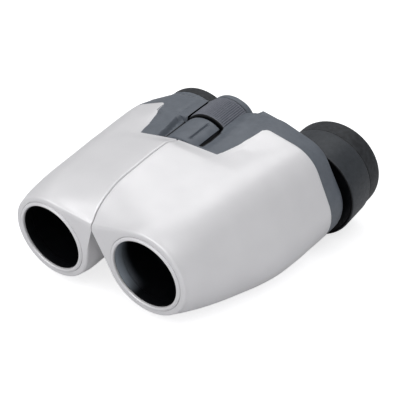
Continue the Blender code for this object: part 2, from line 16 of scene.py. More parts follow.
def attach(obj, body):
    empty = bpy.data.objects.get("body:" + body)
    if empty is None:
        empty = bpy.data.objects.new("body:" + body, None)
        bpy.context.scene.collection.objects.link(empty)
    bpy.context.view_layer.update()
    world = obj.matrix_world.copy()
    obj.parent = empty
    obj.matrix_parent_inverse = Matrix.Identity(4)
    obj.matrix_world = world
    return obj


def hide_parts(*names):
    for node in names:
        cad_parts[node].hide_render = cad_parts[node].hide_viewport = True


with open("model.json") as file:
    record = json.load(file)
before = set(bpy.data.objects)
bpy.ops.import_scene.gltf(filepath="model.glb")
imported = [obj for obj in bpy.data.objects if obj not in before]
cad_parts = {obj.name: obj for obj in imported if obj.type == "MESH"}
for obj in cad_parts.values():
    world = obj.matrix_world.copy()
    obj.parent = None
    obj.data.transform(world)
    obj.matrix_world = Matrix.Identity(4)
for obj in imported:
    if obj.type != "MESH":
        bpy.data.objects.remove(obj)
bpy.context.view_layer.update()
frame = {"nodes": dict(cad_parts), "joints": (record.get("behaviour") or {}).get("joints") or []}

MM = 0.001
SIDES = {"right": -1, "left": 1}

# Layout shared with the CAD model
OBJECTIVE_X = 22.8
EYEPIECE_X = 36.0
EYEPIECE_Z = -14.0
AXIS_Z = 11.0
FOLD_Y = 60.0
GAP = 0.3
WALL = 1.5
CORNER_R = 0.7
EDGE_R = 0.25
END_R = 0.28
FACE_Y = 0.5
RIM_Y = 1.6
ARM_FRONT_Y = 54.15
HOUSING_Y = 79.2
REAR_Y = 90.0
LAST_Y = REAR_Y - 0.001
MOUTH_DEPTH = 2.2
BARREL_R = 15.4
MOUTH_R = 15.6
POCKET_R = 9.0
POCKET_Y = (25.0, 56.0)
WHEEL_Y = (73.2, 89.8)
WHEEL_SPACE_R = 12.7
COVER_R = 11.1
COVER_Y = (54.7, 72.0)
COVER_SPACE_R = 11.4
COVER_SPACE_END = COVER_Y[1] + 0.4
OCULAR_HOLE_R = 15.3
ZOOM_R = 21.43
BEARING_R = 15.3
BOX_FACES = [(0, 1, 3, 2), (4, 6, 7, 5), (0, 4, 5, 1), (2, 3, 7, 6), (0, 2, 6, 4), (1, 5, 7, 3)]

# Camera: where it looks, from which side, and how far away
AIM = (0.0040, 0.0004, 0.0211)
AZIMUTH = 35.76
ELEVATION = 26.96
DISTANCE = 0.3687
LENS = 80.4

# Half body stations (y, barrel, top bulge, belly, seam height), each circle as x, z, radius
STATIONS = [
    (0.5, (22.8, 0.0, 16.9), (22.8, 0.0, 16.9), (22.8, 0.0, 16.9), 11.9),
    (1.6, (22.8, 0.0, 17.9), (22.8, 0.0, 17.9), (22.9, -0.1, 17.9), 14.2),
    (6.0, (22.8, 0.0, 18.2), (23.1, 0.0, 18.8), (24.3, -1.2, 18.5), 18.2),
    (12.0, (22.8, 0.0, 18.1), (23.7, 0.0, 19.3), (26.3, -2.9, 18.6), 21.0),
    (20.0, (22.8, 0.0, 17.9), (24.4, -0.1, 19.7), (28.8, -5.0, 18.5), 22.8),
    (30.0, (22.8, 0.0, 17.7), (25.4, -0.3, 19.8), (31.5, -7.2, 18.4), 23.3),
    (40.0, (22.8, 0.0, 17.5), (26.5, -0.5, 19.8), (33.8, -9.2, 18.4), 23.7),
    (47.0, (22.8, 0.0, 17.5), (27.6, -0.7, 19.7), (34.8, -10.3, 18.5), 23.5),
    (54.15, (22.8, 0.3, 17.5), (28.6, -0.8, 19.4), (35.4, -11.2, 18.4), 21.4),
    (66.0, (22.8, 1.5, 17.5), (30.8, -0.3, 18.2), (36.0, -12.5, 18.1), 20.7),
    (79.2, (22.8, 2.5, 17.5), (32.8, 0.0, 16.9), (36.0, -13.4, 18.4), 20.4),
    (87.5, (22.8, 2.5, 17.1), (33.0, -1.0, 16.2), (36.0, -13.8, 18.5), 20.0),
    (90.0, (22.8, 2.5, 15.9), (33.0, -1.0, 15.0), (36.0, -13.8, 17.3), 18.8),
]
TURN_STEPS = 96


def frame_of_optics():
    """Matrix from optical millimetres to the row frame, from the fold joint's axis and its point."""
    fold = next(j for j in frame["joints"] if j["name"] == "fold")
    rearward = Vector(fold["axis"]).normalized()
    across = Vector((1.0, 0.0, 0.0))
    turn = Matrix((across, rearward, across.cross(rearward))).transposed()
    origin = Vector(fold["pos_m"]) - turn @ Vector((0.0, FOLD_Y, AXIS_Z)) * MM
    return Matrix.Translation(origin) @ turn.to_4x4() @ Matrix.Scale(MM, 4)


TO_ROW = frame_of_optics()


# ---------------------------------------------------------------- materials

class Look:
    """A Principled material whose colour, roughness and bump are built up from procedural noise."""

    def __init__(self, name, metallic=0.0, **sockets):
        self.material = bpy.data.materials.new(name)
        self.material.use_nodes = True
        self.tree = self.material.node_tree
        self.shader = self.tree.nodes["Principled BSDF"]
        self.shader.inputs["Metallic"].default_value = metallic
        for socket, value in sockets.items():
            self.shader.inputs[socket.replace("_", " ")].default_value = value
        self.place = self.node("ShaderNodeTexCoord").outputs["Object"]

    def node(self, kind, **values):
        made = self.tree.nodes.new(kind)
        for name, value in values.items():
            setattr(made, name, value)
        return made

    def link(self, source, target):
        self.tree.links.new(source, target)

    def stretched(self, factors):
        mapping = self.node("ShaderNodeMapping")
        mapping.inputs["Scale"].default_value = factors
        self.link(self.place, mapping.inputs["Vector"])
        return mapping.outputs["Vector"]

    def noise(self, size_mm, detail=3.0, place=None):
        """Soft noise whose blobs are about size_mm across."""
        made = self.node("ShaderNodeTexNoise")
        made.inputs["Scale"].default_value = 1.0 / (size_mm * MM)
        made.inputs["Detail"].default_value = detail
        self.link(place or self.place, made.inputs["Vector"])
        return made.outputs["Fac"]

    def cells(self, size_mm, output="Distance"):
        made = self.node("ShaderNodeTexVoronoi")
        made.inputs["Scale"].default_value = 1.0 / (size_mm * MM)
        self.link(self.place, made.inputs["Vector"])
        return made.outputs[output]

    def spread(self, source, low, high, first=0.3, last=0.7):
        """Map first..last of a source onto low..high."""
        made = self.node("ShaderNodeMapRange")
        for name, value in (("From Min", first), ("From Max", last), ("To Min", low), ("To Max", high)):
            made.inputs[name].default_value = value
        self.link(source, made.inputs["Value"])
        return made.outputs["Result"]

    def mixed(self, share, dark, light):
        """Colour between two, each a colour or a socket, by a share."""
        made = self.node("ShaderNodeMix", data_type="RGBA")
        self.link(share, made.inputs["Factor"])
        for socket, value in ((made.inputs[6], dark), (made.inputs[7], light)):
            if isinstance(value, tuple):
                socket.default_value = (*value, 1.0)
            else:
                self.link(value, socket)
        return made.outputs[2]

    def edges(self, first=0.52, last=0.62):
        """Share of edge wear and painted sheen: 0 on open surfaces and 1 on sharp outer edges, where the
        colour is lightened.
        """
        return self.spread(self.node("ShaderNodeNewGeometry").outputs["Pointiness"], 0.0, 1.0, first, last)

    def cloudy(self, size_mm, detail, dark, light):
        """Colour that drifts between two in soft clouds."""
        return self.mixed(self.spread(self.noise(size_mm, detail), 0.0, 1.0), dark, light)

    def share_along(self, way, first, last):
        """Share that rises smoothly from 0 to 1 between two places, in metres, along a direction."""
        dot = self.node("ShaderNodeVectorMath", operation="DOT_PRODUCT")
        dot.inputs[1].default_value = way
        self.link(self.place, dot.inputs[0])
        share = self.spread(dot.outputs["Value"], 0.0, 1.0, first, last)
        share.node.interpolation_type = "SMOOTHSTEP"
        return share

    def colour(self, source):
        self.link(source, self.shader.inputs["Base Color"])

    def roughness(self, size_mm, detail, low, high):
        """Roughness that drifts between two values in soft clouds."""
        self.link(self.spread(self.noise(size_mm, detail), low, high), self.shader.inputs["Roughness"])

    def bumps(self, *layers):
        """Bump from (source, depth in mm) layers, one on the other."""
        below = None
        for source, depth_mm in layers:
            made = self.node("ShaderNodeBump")
            made.inputs["Distance"].default_value = depth_mm * MM
            self.link(source, made.inputs["Height"])
            if below is not None:
                self.link(below, made.inputs["Normal"])
            below = made.outputs["Normal"]
        self.link(below, self.shader.inputs["Normal"])


def silver_paint():
    """Pearl silver over moulded plastic: fine flake, faint orange peel and a thin clear coat."""
    look = Look("pearl_silver", metallic=0.30, Coat_Weight=0.25, Coat_Roughness=0.22)
    flake = look.cells(0.10, "Color")
    body = look.cloudy(14.0, 2.0, (0.80, 0.792, 0.802), (0.835, 0.827, 0.835))
    sparkle = look.mixed(look.spread(flake, 0.0, 0.30, 0.0, 1.0), body, (0.90, 0.89, 0.90))
    # Sharp edges lightened: rubbed wear and a painted sheen
    worn_and_sheen = look.mixed(look.edges(0.56, 0.70), sparkle, (0.86, 0.86, 0.87))
    look.colour(worn_and_sheen)
    look.roughness(6.0, 4.0, 0.38, 0.48)
    look.bumps((look.noise(1.6, 2.0), 0.003), (look.noise(0.15, 1.0), 0.0012))
    return look.material


def grey_plastic():
    """Moulded blue-grey plastic with a fine spark-eroded texture, and edges lightened as rubbed wear and
    painted sheen.
    """
    look = Look("grey_plastic", Specular_IOR_Level=0.6)
    body = look.cloudy(4.0, 5.0, (0.098, 0.113, 0.135), (0.122, 0.139, 0.163))
    look.colour(look.mixed(look.edges(0.53, 0.66), body, (0.17, 0.19, 0.22)))
    look.roughness(1.2, 4.0, 0.40, 0.52)
    look.bumps((look.noise(0.35, 3.0), 0.008), (look.noise(9.0, 1.0), 0.02))
    return look.material


def black_plastic():
    """Dull black moulding with a faint dusty bloom."""
    look = Look("black_plastic", Specular_IOR_Level=0.4)
    look.colour(look.cloudy(3.0, 5.0, (0.006, 0.006, 0.007), (0.016, 0.016, 0.018)))
    look.roughness(0.8, 3.0, 0.42, 0.60)
    look.bumps((look.noise(0.3, 3.0), 0.008),)
    return look.material


def barrel_black(name="barrel_black", painted_light=False):
    """Black paint inside the barrels, turned, with a low sheen. Asked for, a painted patch of pale light on
    the wall's hinge side fades out just inside the mouth, standing in for light that falls there."""
    look = Look(name, Specular_IOR_Level=0.3)
    black = look.cloudy(2.5, 4.0, (0.0012, 0.0014, 0.002), (0.003, 0.0034, 0.0045))
    # Painted light: a pale grey patch on the hinge side of the wall just inside the mouth, where light falls
    # into the barrel
    if painted_light:
        shares = (look.share_along((0.0, 0.989432, 0.144995), -0.0465, -0.0545),
                  look.share_along((1.0, 0.0, 0.0), 0.0165, 0.0090))
        both = look.node("ShaderNodeMath", operation="MULTIPLY")
        for socket, share in zip(both.inputs, shares):
            look.link(share, socket)
        black = look.mixed(both.outputs["Value"], black, (0.34, 0.38, 0.43))
    look.colour(black)
    look.roughness(1.0, 3.0, 0.30, 0.42)
    turned = look.noise(0.5, 1.0, look.stretched((0.05, 1.0, 0.05)))
    look.bumps((turned, 0.004), (look.noise(0.3, 2.0), 0.003))
    return look.material


def ring_rubber():
    """Smooth skin of the zoom rings, a touch blue."""
    look = Look("ring_rubber", Specular_IOR_Level=0.5)
    body = look.cloudy(2.4, 6.0, (0.019, 0.023, 0.028), (0.030, 0.035, 0.042))
    # Sharp edges lightened: wear and a painted sheen
    look.colour(look.mixed(look.edges(0.53, 0.66), body, (0.09, 0.10, 0.11)))
    look.roughness(0.9, 4.0, 0.42, 0.54)
    look.bumps((look.noise(0.25, 3.0), 0.010), (look.noise(1.5, 2.0), 0.010))
    return look.material


def eyepiece_rubber():
    """Soft rubber skin of the eyepiece: mottled, with a pebbled surface."""
    look = Look("eyepiece_rubber", Specular_IOR_Level=0.42)
    mottle = look.spread(look.noise(1.8, 6.0), 0.0, 1.0, 0.35, 0.65)
    body = look.mixed(mottle, (0.010, 0.011, 0.013), (0.026, 0.029, 0.033))
    # Sharp edges lightened: wear and a painted sheen
    look.colour(look.mixed(look.edges(0.54, 0.66), body, (0.07, 0.075, 0.08)))
    look.roughness(0.9, 4.0, 0.46, 0.66)
    look.bumps((look.cells(0.55), 0.03), (look.noise(0.25, 2.0), 0.012))
    return look.material


def wheel_rubber():
    """Ribbed tyre of the focus wheel, purplish grey, with the ribs lightened by wear and a painted sheen."""
    look = Look("wheel_rubber", Specular_IOR_Level=0.45)
    body = look.cloudy(1.4, 5.0, (0.116, 0.124, 0.150), (0.154, 0.162, 0.190))
    look.colour(look.mixed(look.edges(0.53, 0.66), body, (0.19, 0.19, 0.215)))
    look.roughness(0.7, 4.0, 0.44, 0.62)
    look.bumps((look.noise(0.2, 3.0), 0.012),)
    return look.material


def coated_glass():
    """Optical glass with a thin coating that turns purple to green across the curve."""
    look = Look("coated_glass", Transmission_Weight=0.85, IOR=1.52, Coat_Weight=0.5, Coat_Roughness=0.02,
                Coat_IOR=1.7)
    facing = look.node("ShaderNodeLayerWeight")
    facing.inputs["Blend"].default_value = 0.35
    look.colour(look.mixed(facing.outputs["Facing"], (0.60, 0.66, 0.80), (0.42, 0.50, 0.46)))
    look.roughness(3.0, 4.0, 0.01, 0.035)
    look.bumps((look.noise(8.0, 1.0), 0.0008),)
    return look.material


def prism_glass():
    """Clear crown glass with faintly ground faces."""
    look = Look("prism_glass", Transmission_Weight=0.9, IOR=1.52)
    look.colour(look.cloudy(3.0, 3.0, (0.74, 0.82, 0.84), (0.82, 0.88, 0.90)))
    look.roughness(0.6, 4.0, 0.02, 0.12)
    return look.material


def turned_metal(name, dark, light, rough, grain_mm=0.25):
    """Machined metal with fine lathe marks round Y and slight staining."""
    look = Look(name, metallic=1.0)
    look.colour(look.cloudy(2.2, 5.0, dark, light))
    look.roughness(0.7, 4.0, rough, rough + 0.16)
    marks = look.noise(grain_mm, 2.0, look.stretched((0.08, 1.0, 0.08)))
    look.bumps((marks, 0.008), (look.noise(0.3, 2.0), 0.003))
    return look.material


def cast_alloy():
    """Die-cast alloy: sandy skin with a dull sheen."""
    look = Look("cast_alloy", metallic=1.0)
    look.colour(look.cloudy(1.6, 6.0, (0.30, 0.31, 0.33), (0.46, 0.47, 0.49)))
    look.roughness(0.5, 4.0, 0.42, 0.62)
    look.bumps((look.noise(0.4, 4.0), 0.02),)
    return look.material


LOOKS = {
    "silver_plastic": silver_paint(),
    "grey_plastic": grey_plastic(),
    "black_plastic": black_plastic(),
    "rubber": eyepiece_rubber(),
    "wheel_rubber": wheel_rubber(),
    "glass": coated_glass(),
    "steel": turned_metal("turned_steel", (0.40, 0.40, 0.42), (0.60, 0.60, 0.62), 0.22),
    "brass": turned_metal("turned_brass", (0.50, 0.34, 0.13), (0.72, 0.55, 0.26), 0.24),
    "alloy": cast_alloy(),
}
# Black barrel paint, also laid on other parts as painted shade
BLACK_PAINT_AND_SHADE = barrel_black()
RING_RUBBER = ring_rubber()
# Barrel paint with a patch of painted light just inside the mouth, for the left barrel
PAINTED_LIGHT_BARREL = barrel_black("barrel_painted_light", painted_light=True)
PRISM_GLASS = prism_glass()


# ---------------------------------------------------------------- mesh helpers

def smoothed(mesh, angle=38.0):
    mesh.shade_smooth()
    mesh.set_sharp_from_angle(angle=math.radians(angle))


def new_object(name, points, faces, material):
    """Object from points in the optical frame, with its faces turned outwards."""
    mesh = bpy.data.meshes.new(name)
    mesh.from_pydata([tuple(p) for p in points], [], faces)
    mesh.transform(TO_ROW)
    shape = bmesh.new()
    shape.from_mesh(mesh)
    bmesh.ops.recalc_face_normals(shape, faces=shape.faces)
    shape.to_mesh(mesh)
    shape.free()
    smoothed(mesh)
    mesh.materials.append(material)
    made = bpy.data.objects.new(name, mesh)
    bpy.context.scene.collection.objects.link(made)
    return made


def finished(piece, body, slot, *nodes):
    """Hand a piece to the frame: its body and the CAD nodes that it stands for, which are hidden. The slot is
    not used.
    """
    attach(piece, body)
    if nodes:
        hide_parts(*nodes)
    return piece


def carved(piece, *cutters, operation="DIFFERENCE"):
    """Cut each cutter out of a piece, or join it on, for good."""
    for cutter in cutters:
        modifier = piece.modifiers.new(cutter.name, "BOOLEAN")
        modifier.operation = operation
        modifier.solver = "EXACT"
        modifier.object = cutter
    bpy.context.view_layer.update()
    graph = bpy.context.evaluated_depsgraph_get()
    mesh = bpy.data.meshes.new_from_object(piece.evaluated_get(graph))
    piece.modifiers.clear()
    piece.data = mesh
    smoothed(mesh)
    for cutter in cutters:
        bpy.data.objects.remove(cutter, do_unlink=True)
    return piece


def paint_shade(piece, chosen):
    """Paint shade on the faces chosen by their middle and direction in the optical frame: they take the black
    barrel paint as painted shade.
    """
    piece.data.materials.append(BLACK_PAINT_AND_SHADE)
    back = TO_ROW.inverted()
    for face in piece.data.polygons:
        if chosen(back @ face.center, (back.to_3x3() @ face.normal).normalized()):
            face.material_index = 1


def faces_axis(middle, normal):
    """Whether a face looks at the hinge axis from within the space kept clear for the wheel, or lies beside
    the centre cover; these faces take painted shade.
    """
    spoke = Vector((middle.x, 0.0, middle.z - AXIS_Z))
    looks_in = spoke.length < WHEEL_SPACE_R + 0.2 and normal.dot(spoke.normalized()) < -0.75
    return looks_in or (spoke.length < COVER_SPACE_R + 0.75 and middle.y < COVER_SPACE_END)


def wrapped_faces(rows, columns, closed_rows=True):
    """Quads of a grid whose columns wrap round, and whose rows may too; every point has its own number."""
    faces = []
    for i in range(rows if closed_rows else rows - 1):
        following = (i + 1) % rows
        for j in range(columns):
            n = (j + 1) % columns
            faces.append((i * columns + j, i * columns + n, following * columns + n, following * columns + j))
    return faces


def softened(outline, closed):
    """Round each corner of an outline of (radius, height, softness); softness is the reach of the curve."""
    count = len(outline)
    points = []
    for k, (r, h, soft) in enumerate(outline):
        here = np.array((r, h))
        if soft <= 0.0 or (not closed and k in (0, count - 1)):
            points.append(here)
            continue
        before = np.array(outline[k - 1][:2]) - here
        after = np.array(outline[(k + 1) % count][:2]) - here
        reach = min(soft, 0.48 * np.linalg.norm(before), 0.48 * np.linalg.norm(after))
        first = here + before / np.linalg.norm(before) * reach
        last = here + after / np.linalg.norm(after) * reach
        for t in np.linspace(0.0, 1.0, 5):
            points.append((1 - t) ** 2 * first + 2 * t * (1 - t) * here + t * t * last)
    return points


def turned(name, outline, x, z, material, steps=TURN_STEPS, soft=0.25):
    """Lathed piece about an axis along Y. Outline points are (radius, y) or (radius, y, softness). An outline
    that starts at radius 0 is closed by its own ends, and any other is a ring."""
    full = [(*p, soft) if len(p) == 2 else p for p in outline]
    ring = full[0][0] > 0.0
    points = []
    faces = []
    rows = softened(full, ring)
    angles = [2.0 * math.pi * k / steps for k in range(steps)]
    if ring:
        for r, h in rows:
            points += [(x + r * math.cos(a), h, z + r * math.sin(a)) for a in angles]
        faces = wrapped_faces(len(rows), steps)
        return new_object(name, points, faces, material)
    for r, h in rows[1:-1]:
        points += [(x + r * math.cos(a), h, z + r * math.sin(a)) for a in angles]
    faces = wrapped_faces(len(rows) - 2, steps, closed_rows=False)
    last_row = (len(rows) - 3) * steps
    for start, height in ((0, rows[0][1]), (last_row, rows[-1][1])):
        pole = len(points)
        points.append((x, height, z))
        faces += [(start + k, start + (k + 1) % steps, pole) for k in range(steps)]
    return new_object(name, points, faces, material)


def plug(name, radius, low, high, x, z, material, steps=TURN_STEPS):
    """Plain cylinder along Y, to cut with."""
    outline = [(0.0, high), (radius, high, 0.0), (radius, low, 0.0), (0.0, low)]
    return turned(name, outline, x, z, material, steps)


def fitted(name, outline, x, z, body, slot, node, look=None, steps=TURN_STEPS):
    """Lathed piece on its body, with its slot's finish unless a look is given, standing for one CAD node."""
    finished(turned(name, outline, x, z, look or LOOKS[slot], steps), body, slot, node)


def extruded(name, outline, low, high, material, soft=0.5, steps=4):
    """Plate from a closed (x, z) outline between two heights along Y, with its edges rounded."""
    flat = np.array(outline)
    ahead = np.roll(flat, -1, axis=0) - np.roll(flat, 1, axis=0)
    outward = np.stack((ahead[:, 1], -ahead[:, 0]), axis=1)
    outward /= np.linalg.norm(outward, axis=1)[:, None]
    if np.sum(flat * outward) < np.sum(flat.mean(axis=0) * outward):
        outward = -outward
    front = [(low + soft * (1 - math.sin(a)), soft * (1 - math.cos(a)))
             for a in np.linspace(math.pi / 2.0, 0.0, steps + 1)]
    back = [(high - soft * (1 - math.sin(a)), soft * (1 - math.cos(a)))
            for a in np.linspace(0.0, math.pi / 2.0, steps + 1)]
    rows = []
    for y, inset in front + back:
        ring = flat - outward * inset
        rows += [(x, y, z) for x, z in ring]
    count = len(flat)
    faces = wrapped_faces(len(front + back), count, closed_rows=False)
    faces.append(tuple(range(count)))
    faces.append(tuple(range(len(rows) - count, len(rows))))
    return new_object(name, rows, faces, material)


# ---------------------------------------------------------------- half body surface

def monotone_slopes(places, values):
    """Slopes of a smooth curve through a table that never overshoots it."""
    gaps = np.diff(places)[:, None]
    rates = np.diff(values, axis=0) / gaps
    slopes = np.zeros_like(values)
    before, after = rates[:-1], rates[1:]
    same_way = before * after > 0.0
    w1 = 2.0 * gaps[1:] + gaps[:-1]
    w2 = gaps[1:] + 2.0 * gaps[:-1]
    safe_before = np.where(same_way, before, 1.0)
    safe_after = np.where(same_way, after, 1.0)
    slopes[1:-1] = np.where(same_way, (w1 + w2) / (w1 / safe_before + w2 / safe_after), 0.0)
    slopes[0], slopes[-1] = rates[0], rates[-1]
    return slopes


TABLE_Y = np.array([s[0] for s in STATIONS])
TABLE = np.array([[*s[1], *s[2], *s[3], s[4]] for s in STATIONS])
BELLY_RADIUS = 8
TABLE[:, BELLY_RADIUS] -= 0.09  # keeps the smooth belly a hair above the surface that the CAD model rests on
# The rims at both ends follow a quarter round, so the smooth curve runs between the stations inside them
CURVE = slice(1, len(STATIONS) - 1)
CURVE_Y = TABLE_Y[CURVE]
CURVE_VALUES = TABLE[CURVE]
CURVE_SLOPES = monotone_slopes(CURVE_Y, CURVE_VALUES)


def row_at(y):
    """Section values at y: the three circles and the seam height."""
    if y < RIM_Y:
        round_share = math.sqrt(max(0.0, 1.0 - ((RIM_Y - y) / (RIM_Y - FACE_Y)) ** 2))
        return TABLE[0] + (TABLE[1] - TABLE[0]) * round_share
    rear_start = TABLE_Y[-2]
    if y > rear_start:
        round_share = math.sqrt(max(0.0, 1.0 - ((y - rear_start) / (REAR_Y - rear_start)) ** 2))
        return TABLE[-1] + (TABLE[-2] - TABLE[-1]) * round_share
    k = min(max(int(np.searchsorted(CURVE_Y, y)) - 1, 0), len(CURVE_Y) - 2)
    width = CURVE_Y[k + 1] - CURVE_Y[k]
    t = (y - CURVE_Y[k]) / width
    return ((2 * t ** 3 - 3 * t ** 2 + 1) * CURVE_VALUES[k]
            + (t ** 3 - 2 * t ** 2 + t) * width * CURVE_SLOPES[k]
            + (3 * t ** 2 - 2 * t ** 3) * CURVE_VALUES[k + 1]
            + (t ** 3 - t ** 2) * width * CURVE_SLOPES[k + 1])


def circles_at(y, inset):
    """The four circles of the section: barrel, top, belly and the corner at the seam."""
    row = row_at(y)
    circles = [(row[k], row[k + 1], row[k + 2] - inset) for k in (0, 3, 6)]
    smallest = 0.4
    corner_r = max(CORNER_R - inset, smallest)
    shift = max(0.0, inset - (CORNER_R - smallest))
    circles.append((GAP / 2.0 + CORNER_R + shift, row[9] - CORNER_R - shift, corner_r))
    return np.array(circles)


DIRECTIONS = np.linspace(0.0, 2.0 * math.pi, 1440, endpoint=False)
UNIT = np.stack((np.cos(DIRECTIONS), np.sin(DIRECTIONS)), axis=1)
CORNER = 3


def hull(y, inset):
    """Section outline at y from the foot of the seam corner round below and over the top to its head, and the
    corner's own arc from head to foot."""
    circles = circles_at(y, inset)
    owner = np.argmax(UNIT @ circles[:, :2].T + circles[:, 2], axis=1)
    outline = circles[owner, :2] + circles[owner, 2:3] * UNIT
    is_corner = owner == CORNER
    foot = int(np.flatnonzero(is_corner & ~np.roll(is_corner, -1))[0])
    order = (np.arange(len(UNIT)) + foot) % len(UNIT)
    outline, is_corner = outline[order], is_corner[order]
    head = int(np.flatnonzero(is_corner[1:])[0]) + 1
    body = outline[:head + 1]
    arc = np.vstack((outline[head:], outline[:1]))
    return body, arc


def lengths_along(line):
    return np.concatenate(([0.0], np.cumsum(np.linalg.norm(np.diff(line, axis=0), axis=1))))


def resampled(line, shares):
    """Points at shares of a line's length."""
    along = lengths_along(line)
    wanted = np.asarray(shares) * along[-1]
    return np.stack([np.interp(wanted, along, line[:, k]) for k in (0, 1)], axis=1)


def shares_at_x(line, x):
    """Shares of a line's length at which it crosses x."""
    along = lengths_along(line) / lengths_along(line)[-1]
    side = line[:, 0] - x
    found = []
    for k in np.flatnonzero(side[:-1] * side[1:] < 0.0):
        t = side[k] / (side[k] - side[k + 1])
        found.append(along[k] + t * (along[k + 1] - along[k]))
    return found


def limit_points(grow):
    """Corners (x, y) of the line between front shell and rear parts, shifted for the gap."""
    round_r = 3.0
    arm_front_x, arm_rear_x = 18.9, 24.4
    points = [(arm_front_x, ARM_FRONT_Y), (arm_rear_x, HOUSING_Y - round_r)]
    for k in range(1, 9):
        a = math.pi / 2.0 * k / 8.0
        points.append((arm_rear_x + round_r * (1.0 - math.cos(a)), HOUSING_Y - round_r * (1.0 - math.sin(a))))
    return [(x + grow, y - grow) for x, y in points]


def limit_y(x, grow):
    """Y of that line at x."""
    points = limit_points(grow)
    xs, ys = [p[0] for p in points], [p[1] for p in points]
    return np.interp(x, xs, ys)


def column_shares(count, outline_of, grow):
    """Even shares round the section, with a column through each corner of the limit line."""
    shares = list(np.linspace(0.0, 1.0, count))
    for x, y in limit_points(grow):
        for special in shares_at_x(outline_of(y), x):
            nearest = min(range(1, count - 1), key=lambda k: abs(shares[k] - special))
            shares[nearest] = special
    return sorted(shares)


class RingTable:
    """Rings of section points at many levels of y, read between them at any y."""

    def __init__(self, first_y, last_y, ring_of, step=0.25):
        self.levels = np.linspace(first_y, last_y, int((last_y - first_y) / step) + 1)
        self.rings = np.array([ring_of(y) for y in self.levels])

    def read(self, ys):
        """Points (x, y, z) of every column at its own y."""
        place = (np.asarray(ys, float) - self.levels[0]) / (self.levels[1] - self.levels[0])
        place = np.clip(place, 0.0, len(self.levels) - 1.001)
        low = place.astype(int)
        share = (place - low)[:, None]
        columns = np.arange(self.rings.shape[1])
        flat = self.rings[low, columns] * (1.0 - share) + self.rings[low + 1, columns] * share
        return np.stack((flat[:, 0], np.asarray(ys, float), flat[:, 1]), axis=1)

    def crossings(self, grow):
        """For every column, the y at which it meets the limit line."""
        ahead = self.levels[:, None] - limit_y(self.rings[:, :, 0], grow)
        found = []
        for column in ahead.T:
            k = max(int(np.flatnonzero(column >= 0.0)[0]), 1)
            t = min(max(-column[k - 1] / (column[k] - column[k - 1]), 0.0), 1.0)
            found.append(self.levels[k - 1] + t * (self.levels[k] - self.levels[k - 1]))
        return np.array(found)


def unit_rows(vectors):
    return vectors / np.maximum(np.linalg.norm(vectors, axis=1), 1e-9)[:, None]


def edge_rows(table, ys, soft, towards, steps=4):
    """Rows that roll the surface over its end along a line of points, one for each column. towards is +1
    where the surface ends to the rear and -1 where it ends to the front."""
    ends = table.read(ys)
    along = unit_rows(np.roll(ends, -1, axis=0) - np.roll(ends, 1, axis=0))
    rearward = unit_rows(table.read(ys + 0.3) - table.read(ys - 0.3))
    normal = unit_rows(np.cross(along, rearward))
    centre = np.array((OBJECTIVE_X + 5.0, 0.0, 0.0))
    spoke = (ends - centre) * (1.0, 0.0, 1.0)
    flip = np.sum(normal * spoke, axis=1) < 0.0
    normal[flip] = -normal[flip]
    outwards = unit_rows(np.cross(along, normal))
    wrong = np.sum(outwards * rearward, axis=1) * towards < 0.0
    outwards[wrong] = -outwards[wrong]
    rows = []
    for k in range(steps + 1):
        a = math.pi / 2.0 * k / steps
        rows.append(ends + outwards * soft * (math.sin(a) - 1.0) - normal * soft * (1.0 - math.cos(a)))
    return rows


def mirrored(rows, side):
    points = np.concatenate(rows)
    points[:, 0] *= SIDES[side]
    return points


# ---------------------------------------------------------------- front shells

SHELL_COLUMNS = 220
CORNER_STEPS = 7
CORNER_SHARES = np.linspace(0.0, 1.0, CORNER_STEPS + 2)[1:-1]
FRONT_SHARES = column_shares(SHELL_COLUMNS, lambda y: hull(y, 0.0)[0], -GAP / 2.0)


def shell_ring(y, inset=0.0):
    body, arc = hull(y, inset)
    return np.vstack((resampled(body, FRONT_SHARES), resampled(arc, CORNER_SHARES)))


def lifted(ring, y):
    return np.stack((ring[:, 0], np.full(len(ring), y), ring[:, 1]), axis=1)


SHELL_OUTER = RingTable(RIM_Y, 84.0, shell_ring)
SHELL_INNER = RingTable(RIM_Y, 84.0, lambda y: shell_ring(y, WALL))


def shell_rows():
    """Rows of one front shell, from the mouth out over the face, back along the body and home inside it."""
    face = lifted(shell_ring(FACE_Y), FACE_Y)
    centre = np.array((OBJECTIVE_X, 0.0, 0.0))
    spokes = (face - centre) * (1.0, 0.0, 1.0)
    mouth = centre + unit_rows(spokes) * MOUTH_R
    rows = [mouth + (0.0, FACE_Y + MOUTH_DEPTH, 0.0), mouth + (0.0, FACE_Y + EDGE_R, 0.0)]
    for a in np.radians((30.0, 60.0, 90.0)):
        drop = (0.0, FACE_Y + EDGE_R * (1.0 - math.sin(a)), 0.0)
        rows.append(mouth + unit_rows(spokes) * EDGE_R * (1.0 - math.cos(a)) + drop)
    for share in (0.25, 0.5, 0.75):
        rows.append(rows[4] * (1.0 - share) + face * share)
    for a in np.linspace(0.0, math.pi / 2.0, 8):
        y = RIM_Y - (RIM_Y - FACE_Y) * math.cos(a)
        rows.append(lifted(shell_ring(y), y))
    ends = SHELL_OUTER.crossings(-GAP / 2.0)
    body_steps = 76
    for k in range(1, body_steps):
        rows.append(SHELL_OUTER.read(RIM_Y + (ends - RIM_Y) * k / body_steps))
    rows += edge_rows(SHELL_OUTER, ends, END_R, 1.0)
    inner_front = FACE_Y + MOUTH_DEPTH
    for share in np.linspace(1.0, 0.0, 12):
        rows.append(SHELL_INNER.read(inner_front + (ends - inner_front) * share))
    return rows


def front_shells():
    rows = shell_rows()
    faces = wrapped_faces(len(rows), len(rows[0]))
    for side in SIDES:
        shell = new_object(f"{side}_shell_skin", mirrored(rows, side), faces, LOOKS["silver_plastic"])
        carved(shell, plug("pocket_cutter", POCKET_R, *POCKET_Y, 0.0, AXIS_Z, BLACK_PAINT_AND_SHADE))
        finished(shell, f"{side}_half", "silver_plastic", f"{side}_front_shell")


